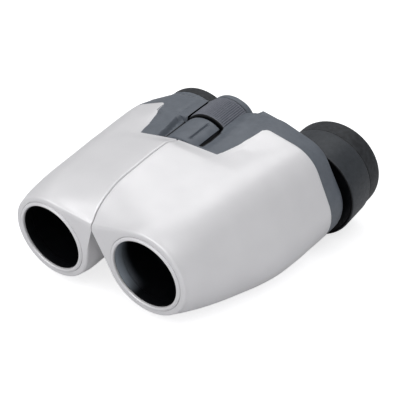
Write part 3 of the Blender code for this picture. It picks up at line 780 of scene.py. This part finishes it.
# ---------------------------------------------------------------- rear housings

HOUSING_COLUMNS = 320
HOUSING_FIRST_Y = 53.8
SCALLOP_STEPS = 34
CORNER_SOFT = 0.55


def space_radius(y, side, inset):
    """Radius kept clear round the hinge axis, closer in beside the centre cover on the right."""
    near_cover = side == "right" and y < COVER_SPACE_END
    return (COVER_SPACE_R if near_cover else WHEEL_SPACE_R) + inset


def leaving_point(inside, outside, radius):
    """Where the segment between two points crosses the circle of this radius round the hinge axis."""
    start = inside - (0.0, AXIS_Z)
    step = outside - inside
    a, b, c = step @ step, 2.0 * start @ step, start @ start - radius * radius
    return inside + step * (-b + math.sqrt(b * b - 4.0 * a * c)) / (2.0 * a)


def clipped_hull(y, side, inset):
    """Hull outline outside the space round the hinge axis, and that space's radius."""
    body, _ = hull(y, inset)
    radius = space_radius(y, side, inset)
    outside = np.flatnonzero(np.hypot(body[:, 0], body[:, 1] - AXIS_Z) > radius)
    first, last = int(outside[0]), int(outside[-1])
    start = leaving_point(body[first - 1], body[first], radius)
    end = leaving_point(body[last + 1], body[last], radius)
    return np.vstack((start, body[first:last + 1], end)), radius


def trimmed(line, reach):
    along = lengths_along(line)
    return reach / along[-1], 1.0 - reach / along[-1]


def eased(start, corner, end, steps=3):
    """Points of a short curve round a corner, without its ends."""
    shares = np.linspace(0.0, 1.0, steps + 2)[1:-1, None]
    return (1 - shares) ** 2 * start + 2 * shares * (1 - shares) * corner + shares ** 2 * end


def housing_ring(y, side, shares, inset=0.0):
    line, radius = clipped_hull(y, side, inset)
    low, high = trimmed(line, CORNER_SOFT)
    outer = resampled(line, low + (high - low) * np.asarray(shares))
    angles = [math.atan2(p[1] - AXIS_Z, p[0]) for p in (line[-1], line[0])]
    step = CORNER_SOFT / radius
    sweep = np.linspace(angles[0] - step, angles[1] + step, SCALLOP_STEPS)
    inner = np.stack((radius * np.cos(sweep), AXIS_Z + radius * np.sin(sweep)), axis=1)
    head, foot = eased(outer[-1], line[-1], inner[0]), eased(inner[-1], line[0], outer[0])
    return np.vstack((outer, head, inner, foot))


def smooth_step(value, low, high):
    t = np.clip((np.asarray(value, float) - low) / (high - low), 0.0, 1.0)
    return t * t * (3.0 - 2.0 * t)


def relief(points, side):
    """How far the top of an arm is let down. The right arm has a hollow beside the centre cover and a faint
    valley behind it; the left arm only dips towards the wheel."""
    x, y, z = points.T
    near_top = smooth_step(z, AXIS_Z + 1.0, AXIS_Z + 6.0)
    if side == "left":
        depth = 1.7 - 0.6 * smooth_step(y, 70.0, 73.5)
        return depth * (1.0 - smooth_step(x, 9.0, 15.0)) * smooth_step(y, 54.6, 58.0) * near_top
    hollow_edge = 10.6 + (y - ARM_FRONT_Y) * 0.18
    beside = 1.0 - smooth_step(x, hollow_edge - 1.5, hollow_edge + 0.2)
    hollow = 2.5 * beside * smooth_step(y, 54.2, 55.2) * (1.0 - smooth_step(y + 0.3 * (x - 8.0), 72.6, 73.6))
    valley = 0.45 * np.exp(-((x - 14.3) / 1.2) ** 2)
    valley *= smooth_step(y, 73.6, 75.0) * (1.0 - smooth_step(y, 81.0, 88.0))
    return (hollow + valley) * near_top


def housing_rows(side):
    """Rows of one rear housing, from the hole for the eyepiece out over the rear face, forwards along the
    outside and home inside it."""
    shares = column_shares(HOUSING_COLUMNS, lambda y: housing_line(y, side), GAP / 2.0)
    outer = RingTable(HOUSING_FIRST_Y, LAST_Y, lambda y: housing_ring(y, side, shares))
    inner = RingTable(HOUSING_FIRST_Y, LAST_Y, lambda y: housing_ring(y, side, shares, WALL))
    starts = outer.crossings(GAP / 2.0)
    centre = np.array((EYEPIECE_X, 0.0, EYEPIECE_Z))
    face = lifted(housing_ring(LAST_Y, side, shares), REAR_Y)
    spokes = unit_rows((face - centre) * (1.0, 0.0, 1.0))
    hole = centre + spokes * OCULAR_HOLE_R
    inside_y = REAR_Y - 2.0
    rows = [hole + (0.0, inside_y, 0.0), hole + (0.0, REAR_Y - EDGE_R, 0.0)]
    for a in np.radians((45.0, 90.0)):
        drop = (0.0, REAR_Y - EDGE_R * (1.0 - math.sin(a)), 0.0)
        rows.append(hole + spokes * EDGE_R * (1.0 - math.cos(a)) + drop)
    for share in (0.33, 0.67):
        rows.append(rows[3] * (1.0 - share) + face * share)
    rear_start = TABLE_Y[-2]
    for a in np.linspace(0.0, math.pi / 2.0, 8):
        y = rear_start + (REAR_Y - rear_start) * math.cos(a)
        y = min(y, LAST_Y)
        rows.append(lifted(housing_ring(y, side, shares), y))
    body_steps = 96
    for k in range(1, body_steps):
        rows.append(outer.read(rear_start + (starts - rear_start) * k / body_steps))
    rows += edge_rows(outer, starts, END_R, -1.0)
    for row in rows[6:]:
        row[:, 2] -= relief(row, side)
    for share in np.linspace(0.0, 1.0, 12):
        row = inner.read(starts + (inside_y - starts) * share)
        row[:, 2] -= relief(row, side)
        rows.append(row)
    return rows


def housing_line(y, side):
    line, _ = clipped_hull(y, side, 0.0)
    low, high = trimmed(line, CORNER_SOFT)
    return resampled(line, np.linspace(low, high, 900))


def rear_housings():
    for side in SIDES:
        rows = housing_rows(side)
        faces = wrapped_faces(len(rows), len(rows[0]))
        housing = new_object(f"{side}_housing_skin", mirrored(rows, side), faces, LOOKS["grey_plastic"])
        # Painted shade: the scallop round the wheel and the arm's faces beside the centre cover turn black,
        # for the shade in the gaps round the hinge
        paint_shade(housing, faces_axis)
        finished(housing, f"{side}_half", "grey_plastic", f"{side}_rear_housing")


# ---------------------------------------------------------------- objectives

def biconvex(radius, low, high, bulge, steps=9):
    """Outline of a lens, from the middle of its back to the middle of its front."""
    shares = np.linspace(0.0, 1.0, steps)
    back = [(radius * s, high + bulge * (1.0 - s * s), 0.0) for s in shares]
    front = [(radius * s, low - bulge * (1.0 - s * s), 0.0) for s in shares[::-1]]
    return back + front


def objective_ring(side, x):
    """Thin ring round the opening, with a fine lip and a shallow groove outside it."""
    outline = [(15.3, 3.6), (15.5, 2.4, 0.2), (15.5, 0.42, 0.12), (15.1, 0.3, 0.1), (14.95, 0.0, 0.2),
               (14.25, 0.0, 0.35), (14.0, 0.45, 0.25), (14.0, 1.1, 0.1), (14.7, 1.3, 0.1), (14.7, 3.6)]
    fitted(f"{side}_objective_lip", outline, x, 0.0, f"{side}_half", "silver_plastic",
           f"{side}_objective_ring")


def objective_tube(side, x):
    """Black barrel with a collar behind the ring, baffle ridges in its bore and a slot for the focus arm."""
    outline = [(BARREL_R, 43.0), (BARREL_R, 3.9), (14.55, 3.9, 0.05), (14.55, 1.5, 0.1), (14.06, 1.4, 0.15),
               (14.06, 5.0, 0.1), (14.4, 5.4, 0.1)]
    y = 20.0
    while y < 31.0:
        outline += [(14.4, y, 0.05), (14.25, y + 0.2, 0.05), (14.4, y + 0.9, 0.05)]
        y += 2.4
    outline.append((14.4, 43.0))
    # The left barrel's paint carries a patch of painted light just inside its mouth
    tube = turned(f"{side}_barrel", outline, x, 0.0, PAINTED_LIGHT_BARREL if side == "left" else BLACK_PAINT_AND_SHADE)
    carved(tube, radial_bar("barrel_slot", side, 4.0, (26.0, 41.5), 6.4))
    finished(tube, f"{side}_half", "black_plastic", f"{side}_objective_tube")


def radial_bar(name, side, half, y, width):
    """Box on the line from the hinge axis to the objective axis, centred on the barrel's wall."""
    sign = SIDES[side]
    towards = Vector((sign * OBJECTIVE_X, 0.0, -AXIS_Z)).normalized()
    beside = Vector((-towards.z, 0.0, towards.x))
    middle = Vector((0.0, 0.0, AXIS_Z)) + towards * (math.hypot(OBJECTIVE_X, AXIS_Z) - BARREL_R)
    points = []
    for along in (-half, half):
        for depth in y:
            for across in (-width / 2.0, width / 2.0):
                points.append(middle + towards * along + Vector((0.0, depth, 0.0)) + beside * across)
    return new_object(name, points, BOX_FACES, BLACK_PAINT_AND_SHADE)


def objective_cell(side, x):
    """Lens cell with a plain lip at its front edge, and its doublet drawn as one lens."""
    outline = [(14.1, 39.0), (14.1, 33.0, 0.3), (12.6, 33.0, 0.1), (11.6, 33.5, 0.15), (11.6, 33.8, 0.05),
               (12.75, 33.8, 0.05), (12.75, 39.0)]
    body = f"{side}_objective"
    fitted(f"{side}_lens_cell", outline, x, 0.0, body, "black_plastic", f"{side}_objective_cell")
    lens = biconvex(12.6, 35.0, 38.0, 0.9)
    fitted(f"{side}_front_lens", lens, x, 0.0, body, "glass", f"{side}_objective_lens")


# ---------------------------------------------------------------- eyepieces

def eyepiece_tube(side, x):
    """Tube with a flange inside the housing and a fine ridge in its bore."""
    outline = [(15.0, 113.0), (15.0, 87.7), (16.0, 87.7), (16.0, 84.6), (15.0, 84.6), (15.0, 80.0),
               (13.0, 80.0), (13.0, 103.0, 0.1), (12.85, 103.2, 0.05), (13.0, 103.6, 0.05), (13.0, 113.0, 0.6)]
    fitted(f"{side}_ocular_tube", outline, x, EYEPIECE_Z, f"{side}_half", "black_plastic",
           f"{side}_eyepiece_tube", BLACK_PAINT_AND_SHADE)


def zoom_lenses(side, x):
    """The moving zoom group in its carrier, and the eye lens."""
    group = f"{side}_zoom_group"
    carrier = [(12.7, 92.0), (12.7, 87.0), (8.4, 87.0, 0.4), (8.4, 87.8), (9.4, 87.8), (9.4, 92.0)]
    fitted(f"{side}_zoom_cell", carrier, x, EYEPIECE_Z, group, "black_plastic", f"{side}_zoom_carrier")
    lens = biconvex(9.25, 89.0, 90.6, 0.7)
    fitted(f"{side}_zoom_glass", lens, x, EYEPIECE_Z, group, "glass", f"{side}_zoom_lens")
    eye = biconvex(12.7, 105.5, 107.5, 1.0)
    eye_body = "right_ocular" if side == "right" else "left_half"
    fitted(f"{side}_eye_glass", eye, x, EYEPIECE_Z, eye_body, "glass", f"{side}_eye_lens")


def zoom_ring(side, x):
    """Rubber-skinned sleeve: a fine step before the eyecup, and in front a black web inside the rim, black for
    its own colour and as painted shade under the rim.
    """
    outline = [(19.5, 107.6, 0.1), (ZOOM_R - 0.35, 107.6, 0.3), (ZOOM_R, 107.1, 0.3), (ZOOM_R, 92.5, 0.35),
               (ZOOM_R - 0.7, 92.0, 0.2), (ZOOM_R - 1.1, 92.6, 0.2), (BEARING_R, 92.6), (BEARING_R, 94.2),
               (19.5, 94.2, 0.4)]
    ring = turned(f"{side}_zoom_sleeve", outline, x, EYEPIECE_Z, RING_RUBBER, steps=144)
    # The web and bore inside the rim turn black: dark material, deepened into painted shade
    paint_shade(ring, lambda p, n: p.y < 94.3 and math.hypot(p.x - x, p.z - EYEPIECE_Z) < ZOOM_R - 0.25)
    finished(ring, f"{side}_zoom_ring", "rubber", f"{side}_zoom_ring")


def eyecup(side, x):
    """Rolled rubber cup with a dished mouth and a fine bead inside it."""
    low = 108.1 if side == "left" else 111.7
    outline = [(20.55, 117.3, 0.6), (20.95, 116.0, 0.5), (20.95, low + 0.5, 0.35), (20.4, low, 0.2),
               (BEARING_R, low), (BEARING_R, 113.6, 0.1), (14.0, 113.8, 0.15), (14.4, 114.2, 0.2),
               (16.4, 115.2, 0.9), (18.3, 116.9, 0.5), (18.9, 118.0, 0.4), (19.9, 118.0, 0.5)]
    body = "dioptre" if side == "right" else "left_half"
    fitted(f"{side}_eye_cup", outline, x, EYEPIECE_Z, body, "rubber", f"{side}_eyecup", steps=144)


def wavy_ring(name, profile, steps, dip_of, x, z, material):
    """Ring about an axis along Y, let in towards it by dip_of(number of the profile point, y, angle)."""
    points = []
    for number, (radius, y) in enumerate(profile):
        for k in range(steps):
            a = 2.0 * math.pi * k / steps
            r = radius - dip_of(number, y, a)
            points.append((x + r * math.cos(a), y, z + r * math.sin(a)))
    return new_object(name, points, wrapped_faces(len(profile), steps), material)


def dioptre_ring():
    """Ring with shallow finger flutes round it."""
    low, high, wide = 108.1, 111.4, 21.2
    flutes = 48
    profile = [(wide - 0.35, high), (wide, high - 0.35), (wide, high - 0.8), (wide, low + 0.8),
               (wide, low + 0.35), (wide - 0.35, low), (BEARING_R, low), (BEARING_R, high)]

    def dip_of(number, y, a):
        return 0.28 * max(0.0, math.cos(flutes * a)) if number in (2, 3) else 0.0

    ring = wavy_ring("dioptre_collar", profile, flutes * 6, dip_of, -EYEPIECE_X, EYEPIECE_Z,
                     LOOKS["grey_plastic"])
    finished(ring, "dioptre", "grey_plastic", "dioptre_ring")


# ---------------------------------------------------------------- hinge and focus

def centre_cover():
    """Sleeve over the hinge: a raised cap with a short groove along it, and black painted shade below the cap.
    """
    low, high = COVER_Y
    steps = 300
    cap_right, cap_left = math.asin(7.2 / COVER_R), math.asin(7.8 / COVER_R)
    profile = [(COVER_R - 0.45, high), (COVER_R - 0.13, high - 0.13), (COVER_R, high - 0.45)]
    profile += [(COVER_R, y) for y in (70.9, 70.3, 69.6, 69.0, 66.0, 62.0, 58.6, 57.8, 57.0, 56.2)]
    profile += [(COVER_R, low + 0.4), (COVER_R - 0.12, low + 0.12), (COVER_R - 0.4, low),
                (COVER_R - 1.5, low), (COVER_R - 1.5, high)]
    points = []
    for radius, y in profile:
        fade = float(smooth_step(y, 56.4, 58.6) * (1.0 - smooth_step(y, 69.2, 70.9)))
        for k in range(steps):
            lean = math.pi - 2.0 * math.pi * k / steps
            across = lean * COVER_R
            groove = 0.85 * fade * (1.0 - float(smooth_step(abs(across - 4.15), 0.15, 0.8)))
            past_cap = (smooth_step(lean, cap_left, cap_left + 0.03)
                        + smooth_step(-lean, cap_right, cap_right + 0.03))
            step = 0.8 * float(past_cap)
            r = radius - (groove + step if radius > COVER_R - 1.0 else 0.0)
            points.append((r * math.sin(lean), y, AXIS_Z + r * math.cos(lean)))
    cover = new_object("hinge_cover", points, wrapped_faces(len(profile), steps), LOOKS["grey_plastic"])
    # Painted shade: everything past the cap's edges turns black, for the deep shade under it
    paint_shade(cover, lambda p, n: not -cap_right - 0.01 < math.atan2(p.x, p.z - AXIS_Z) < cap_left + 0.01)
    finished(cover, "right_half", "grey_plastic", "centre_cover")


def focus_wheel():
    """Rubber tyre with fine ribs that run out before each rounded end."""
    ribs = 80
    low, high = WHEEL_Y
    profile = [(9.0, low), (10.9, low), (11.45, low + 0.12), (11.8, low + 0.4), (11.95, low + 0.9),
               (12.0, low + 1.5), (12.05, low + 2.4), (12.1, 81.5), (12.05, high - 2.4), (12.0, high - 1.5),
               (11.95, high - 0.9), (11.8, high - 0.4), (11.45, high - 0.12), (10.9, high), (9.0, high)]

    def dip_of(number, y, a):
        run_out = float(smooth_step(min(y - low, high - y), 0.3, 1.5))
        return 0.30 * (0.5 - 0.5 * math.cos(ribs * a)) ** 2 * run_out

    wheel = wavy_ring("wheel_tyre", profile, ribs * 6, dip_of, 0.0, AXIS_Z, LOOKS["wheel_rubber"])
    # Painted shade: the tyre's end faces turn black, for the shade in the gaps beside it
    paint_shade(wheel, lambda p, n: abs(n.y) > 0.75)
    finished(wheel, "focus_wheel", "wheel_rubber", "focus_wheel")


def on_axis(name, outline, body, slot, node, steps=64):
    """Lathed piece about the hinge axis."""
    fitted(name, outline, 0.0, AXIS_Z, body, slot, node, steps=steps)


def spindle_parts():
    """Everything on the hinge axis apart from the tyre and the cover."""
    spindle = threaded(2.6, 2.3, 30.5, 98.4, (42.0, 71.0))
    on_axis("focus_screw", spindle, "focus_wheel", "steel", "focus_spindle", 48)
    cap = [(0.0, 100.8), (1.2, 100.8, 0.1), (1.5, 100.5, 0.1), (3.3, 100.5, 0.2), (4.6, 99.6, 0.6),
           (4.6, 96.4, 0.2), (2.9, 96.4), (2.9, 98.7, 0.1), (0.0, 98.7)]
    on_axis("wheel_cap", cap, "focus_wheel", "steel", "spindle_cap")
    hub = [(8.7, 89.2), (8.7, 73.8), (7.6, 73.8, 0.3), (7.2, 74.6, 0.3), (4.6, 74.6, 0.3), (4.3, 73.8, 0.3),
           (2.9, 73.8), (2.9, 89.2), (4.3, 89.2, 0.3), (4.6, 88.4, 0.3), (7.2, 88.4, 0.3), (7.6, 89.2, 0.3)]
    on_axis("wheel_core", hub, "focus_wheel", "black_plastic", "wheel_hub")
    tube = [(4.5, 71.6), (4.5, 43.9), (3.0, 43.9, 0.4), (3.0, 71.6, 0.4)]
    on_axis("hinge_pin_tube", tube, "right_half", "steel", "hinge_tube")
    nut = [(5.0, 40.6), (5.0, 33.6, 0.1), (7.6, 33.6), (7.6, 32.4), (2.9, 32.4, 0.3), (2.9, 40.6, 0.3)]
    on_axis("focus_nut_body", nut, "right_objective", "brass", "focus_nut")


def threaded(crest, root, low, high, plain):
    """Rod outline from its rear end to its front end, with rings of thread outside the plain stretch."""
    pitch = 1.0
    outline = [(0.0, high), (crest, high, 0.3), (crest, plain[0], 0.1)]
    y = plain[0] - 0.6
    while y > low + 1.0:
        outline += [(root, y, 0.05), (crest, y - pitch / 2.0, 0.05)]
        y -= pitch
    return outline + [(root, low + 0.4, 0.1), (root - 0.4, low, 0.1), (0.0, low)]


def arc_points(x, z, radius, first, last, count):
    return [(x + radius * math.cos(a), z + radius * math.sin(a))
            for a in np.radians(np.linspace(first, last, count))]


def rear_knuckle(side):
    """Ring round the spindle behind the wheel, running out into a plate on the back of the housing."""
    low, high = (90.3, 93.0) if side == "right" else (93.3, 96.0)
    radius, leaving = (11.6, 44.0) if side == "right" else (9.0, 20.0)
    corner = 1.2
    outline = arc_points(0.0, AXIS_Z, radius, leaving, 310.0, 60)
    outline += arc_points(21.0 - corner, 3.0 + corner, corner, -90.0, 0.0, 7)
    outline += arc_points(21.0 - corner, 15.2 - corner, corner, 0.0, 72.0, 6)
    outline += arc_points(13.6, 16.1, 0.9, 76.0, 150.0, 6)
    sign = SIDES[side]
    outline = [(sign * x, z) for x, z in outline]
    knuckle = extruded(f"{side}_hinge_lug", outline, low, high, LOOKS["grey_plastic"])
    ends = low - 1.0, high + 1.0
    cutters = [plug("lug_bore", 2.9, *ends, 0.0, AXIS_Z, LOOKS["steel"], 48)]
    for number, (x, z) in enumerate(((18.4, 12.8), (18.4, 5.4)), 1):
        cutters.append(plug(f"lug_hole_{number}", 1.3, *ends, sign * x, z, LOOKS["steel"], 32))
        screw(f"{side}_lug_screw_{number}", sign * x, high + GAP, z, high + GAP - 85.6, f"{side}_half",
              f"{side}_knuckle_screw_{number}")
    carved(knuckle, *cutters)
    if side == "left":
        step = box_between("lug_step", (14.6, 90.3, 3.4), (20.6, 93.9, 14.6), LOOKS["grey_plastic"])
        carved(knuckle, step, operation="UNION")
    finished(knuckle, f"{side}_half", "grey_plastic", f"{side}_rear_knuckle")


def box_between(name, low, high, material):
    points = [(x, y, z) for x in (low[0], high[0]) for y in (low[1], high[1]) for z in (low[2], high[2])]
    return new_object(name, points, BOX_FACES, material)


def screw(name, x, head_y, z, length, body, node):
    """Cross-head screw: domed head, a cross recess and a ringed shank."""
    outline = [(0.0, head_y + 1.0), (0.9, head_y + 1.0, 0.3), (1.7, head_y + 0.75, 0.4),
               (1.95, head_y + 0.35, 0.2), (1.95, head_y, 0.1), (1.0, head_y, 0.1)]
    y = head_y - 1.0
    while y > head_y - length + 1.0:
        outline += [(1.0, y, 0.05), (0.8, y - 0.3, 0.05), (1.0, y - 0.6, 0.05)]
        y -= 0.8
    outline += [(0.7, head_y - length + 0.3, 0.1), (0.0, head_y - length)]
    made = turned(name, outline, x, z, LOOKS["steel"], 40)
    arms = []
    for number, (wide, tall) in enumerate(((1.1, 0.22), (0.22, 1.1)), 1):
        low, high = (x - wide, head_y + 0.45, z - tall), (x + wide, head_y + 2.0, z + tall)
        arms.append(box_between(f"cross_{number}", low, high, LOOKS["steel"]))
    carved(made, *arms)
    finished(made, body, "steel", node)


def zoom_lever():
    """Thumb lever on the right zoom ring: a crowned bar with grip grooves across it."""
    angle = math.radians(-35.0)
    out = Vector((math.cos(angle), 0.0, math.sin(angle)))
    beside = Vector((-math.sin(angle), 0.0, math.cos(angle)))
    base = Vector((-EYEPIECE_X, 99.5, EYEPIECE_Z)) + out * (ZOOM_R + GAP)
    rows, count = [], 24
    for k in range(count + 1):
        y = -3.0 + 6.0 * k / count
        taper = math.sqrt(max(0.0, 1.0 - (abs(y) / 3.0) ** 6))
        ridge = 0.18 * math.cos(2.0 * math.pi * y / 1.0) * taper
        height = 3.2 * (0.55 + 0.45 * taper) + ridge - 0.18
        half = 1.6 * (0.4 + 0.6 * taper)
        section = [(-half, 0.0), (-half, height - 0.9), (-half + 0.35, height - 0.3), (-half + 0.9, height),
                   (half - 0.9, height), (half - 0.35, height - 0.3), (half, height - 0.9), (half, 0.0)]
        rows += [base + beside * s + out * h + Vector((0.0, y, 0.0)) for s, h in section]
    faces = wrapped_faces(count + 1, 8, closed_rows=False)
    faces += [tuple(range(8)), tuple(range(len(rows) - 8, len(rows)))]
    lever = new_object("zoom_thumb_lever", rows, faces, LOOKS["grey_plastic"])
    finished(lever, "right_zoom_ring", "grey_plastic", "zoom_lever")


# ---------------------------------------------------------------- CAD parts that stay

def dress_cad_parts():
    """Give every CAD node that still shows the finish of its slot."""
    slots = {"prism_plate": "alloy", "focus_arm": "alloy", "front_knuckle": "alloy", "prism_screw": "steel"}
    for name, node in frame["nodes"].items():
        if node.hide_render:
            continue
        if "_prism" in name and "plate" not in name and "screw" not in name:
            slot, look = "glass", PRISM_GLASS
        else:
            slot = next(s for part, s in slots.items() if part in name)
            look = LOOKS[slot]
        node.data.materials.clear()
        node.data.materials.append(look)


# ---------------------------------------------------------------- studio

def direction(azimuth, elevation):
    """Unit vector from the object towards a place seen at that azimuth and elevation."""
    a, e = math.radians(azimuth), math.radians(elevation)
    return Vector((math.sin(a) * math.cos(e), -math.cos(a) * math.cos(e), math.sin(e)))


def aimed(name, data, target, azimuth, elevation, distance):
    """Camera or light that looks at a target from a direction."""
    made = bpy.data.objects.new(name, data)
    back = direction(azimuth, elevation)
    made.location = Vector(target) + back * distance
    made.rotation_mode = "QUATERNION"
    made.rotation_quaternion = (-back).to_track_quat("-Z", "Y")
    bpy.context.scene.collection.objects.link(made)
    return made


def camera():
    data = bpy.data.cameras.new("camera")
    data.lens = LENS
    data.sensor_width = 36.0
    data.clip_start, data.clip_end = 0.01, 20.0
    bpy.context.scene.camera = aimed("camera", data, AIM, AZIMUTH, ELEVATION, DISTANCE)


def softbox(name, azimuth, elevation, distance, size, power):
    """Rectangular light aimed at the object, as size (width, height) in metres."""
    data = bpy.data.lights.new(name, "AREA")
    data.shape = "RECTANGLE"
    data.size, data.size_y = size
    data.energy = power
    aimed(name, data, (0.0, 0.0, 0.02), azimuth, elevation, distance)


def floor():
    """Pale floor, evenly bright to the camera so that it reads as a plain sweep of white paper."""
    look = Look("paper_floor", Specular_IOR_Level=0.1)
    look.colour(look.cloudy(2.0, 4.0, (0.60, 0.60, 0.61), (0.63, 0.63, 0.64)))
    look.roughness(3.0, 2.0, 0.75, 0.85)
    look.shader.inputs["Emission Color"].default_value = (1.0, 1.0, 1.0, 1.0)
    glow = look.spread(look.node("ShaderNodeLightPath").outputs["Is Camera Ray"], 0.05, 0.72, 0.0, 1.0)
    look.link(glow, look.shader.inputs["Emission Strength"])
    half = 4.0
    mesh = bpy.data.meshes.new("floor")
    corners = [(-half, -half, 0.0), (half, -half, 0.0), (half, half, 0.0), (-half, half, 0.0)]
    mesh.from_pydata(corners, [], [(0, 1, 2, 3)])
    mesh.materials.append(look.material)
    made = bpy.data.objects.new("floor", mesh)
    bpy.context.scene.collection.objects.link(made)


def studio():
    world = bpy.data.worlds.new("studio")
    world.use_nodes = True
    world.node_tree.nodes["Background"].inputs["Color"].default_value = (0.96, 0.97, 1.0, 1.0)
    world.node_tree.nodes["Background"].inputs["Strength"].default_value = 0.38
    bpy.context.scene.world = world
    bpy.context.scene.view_settings.view_transform = "Standard"
    softbox("key", -2.0, 54.0, 1.2, (1.6, 1.0), 8.5)
    softbox("side", 60.0, 50.0, 1.3, (0.7, 0.7), 1.2)
    softbox("back", 200.0, 60.0, 1.2, (1.2, 0.6), 3.0)


# ---------------------------------------------------------------- assembly

camera()
studio()
floor()
front_shells()
rear_housings()
for half in SIDES:
    objective_x = SIDES[half] * OBJECTIVE_X
    eyepiece_x = SIDES[half] * EYEPIECE_X
    objective_ring(half, objective_x)
    objective_tube(half, objective_x)
    objective_cell(half, objective_x)
    eyepiece_tube(half, eyepiece_x)
    zoom_lenses(half, eyepiece_x)
    zoom_ring(half, eyepiece_x)
    eyecup(half, eyepiece_x)
    rear_knuckle(half)
dioptre_ring()
zoom_lever()
centre_cover()
focus_wheel()
spindle_parts()
dress_cad_parts()
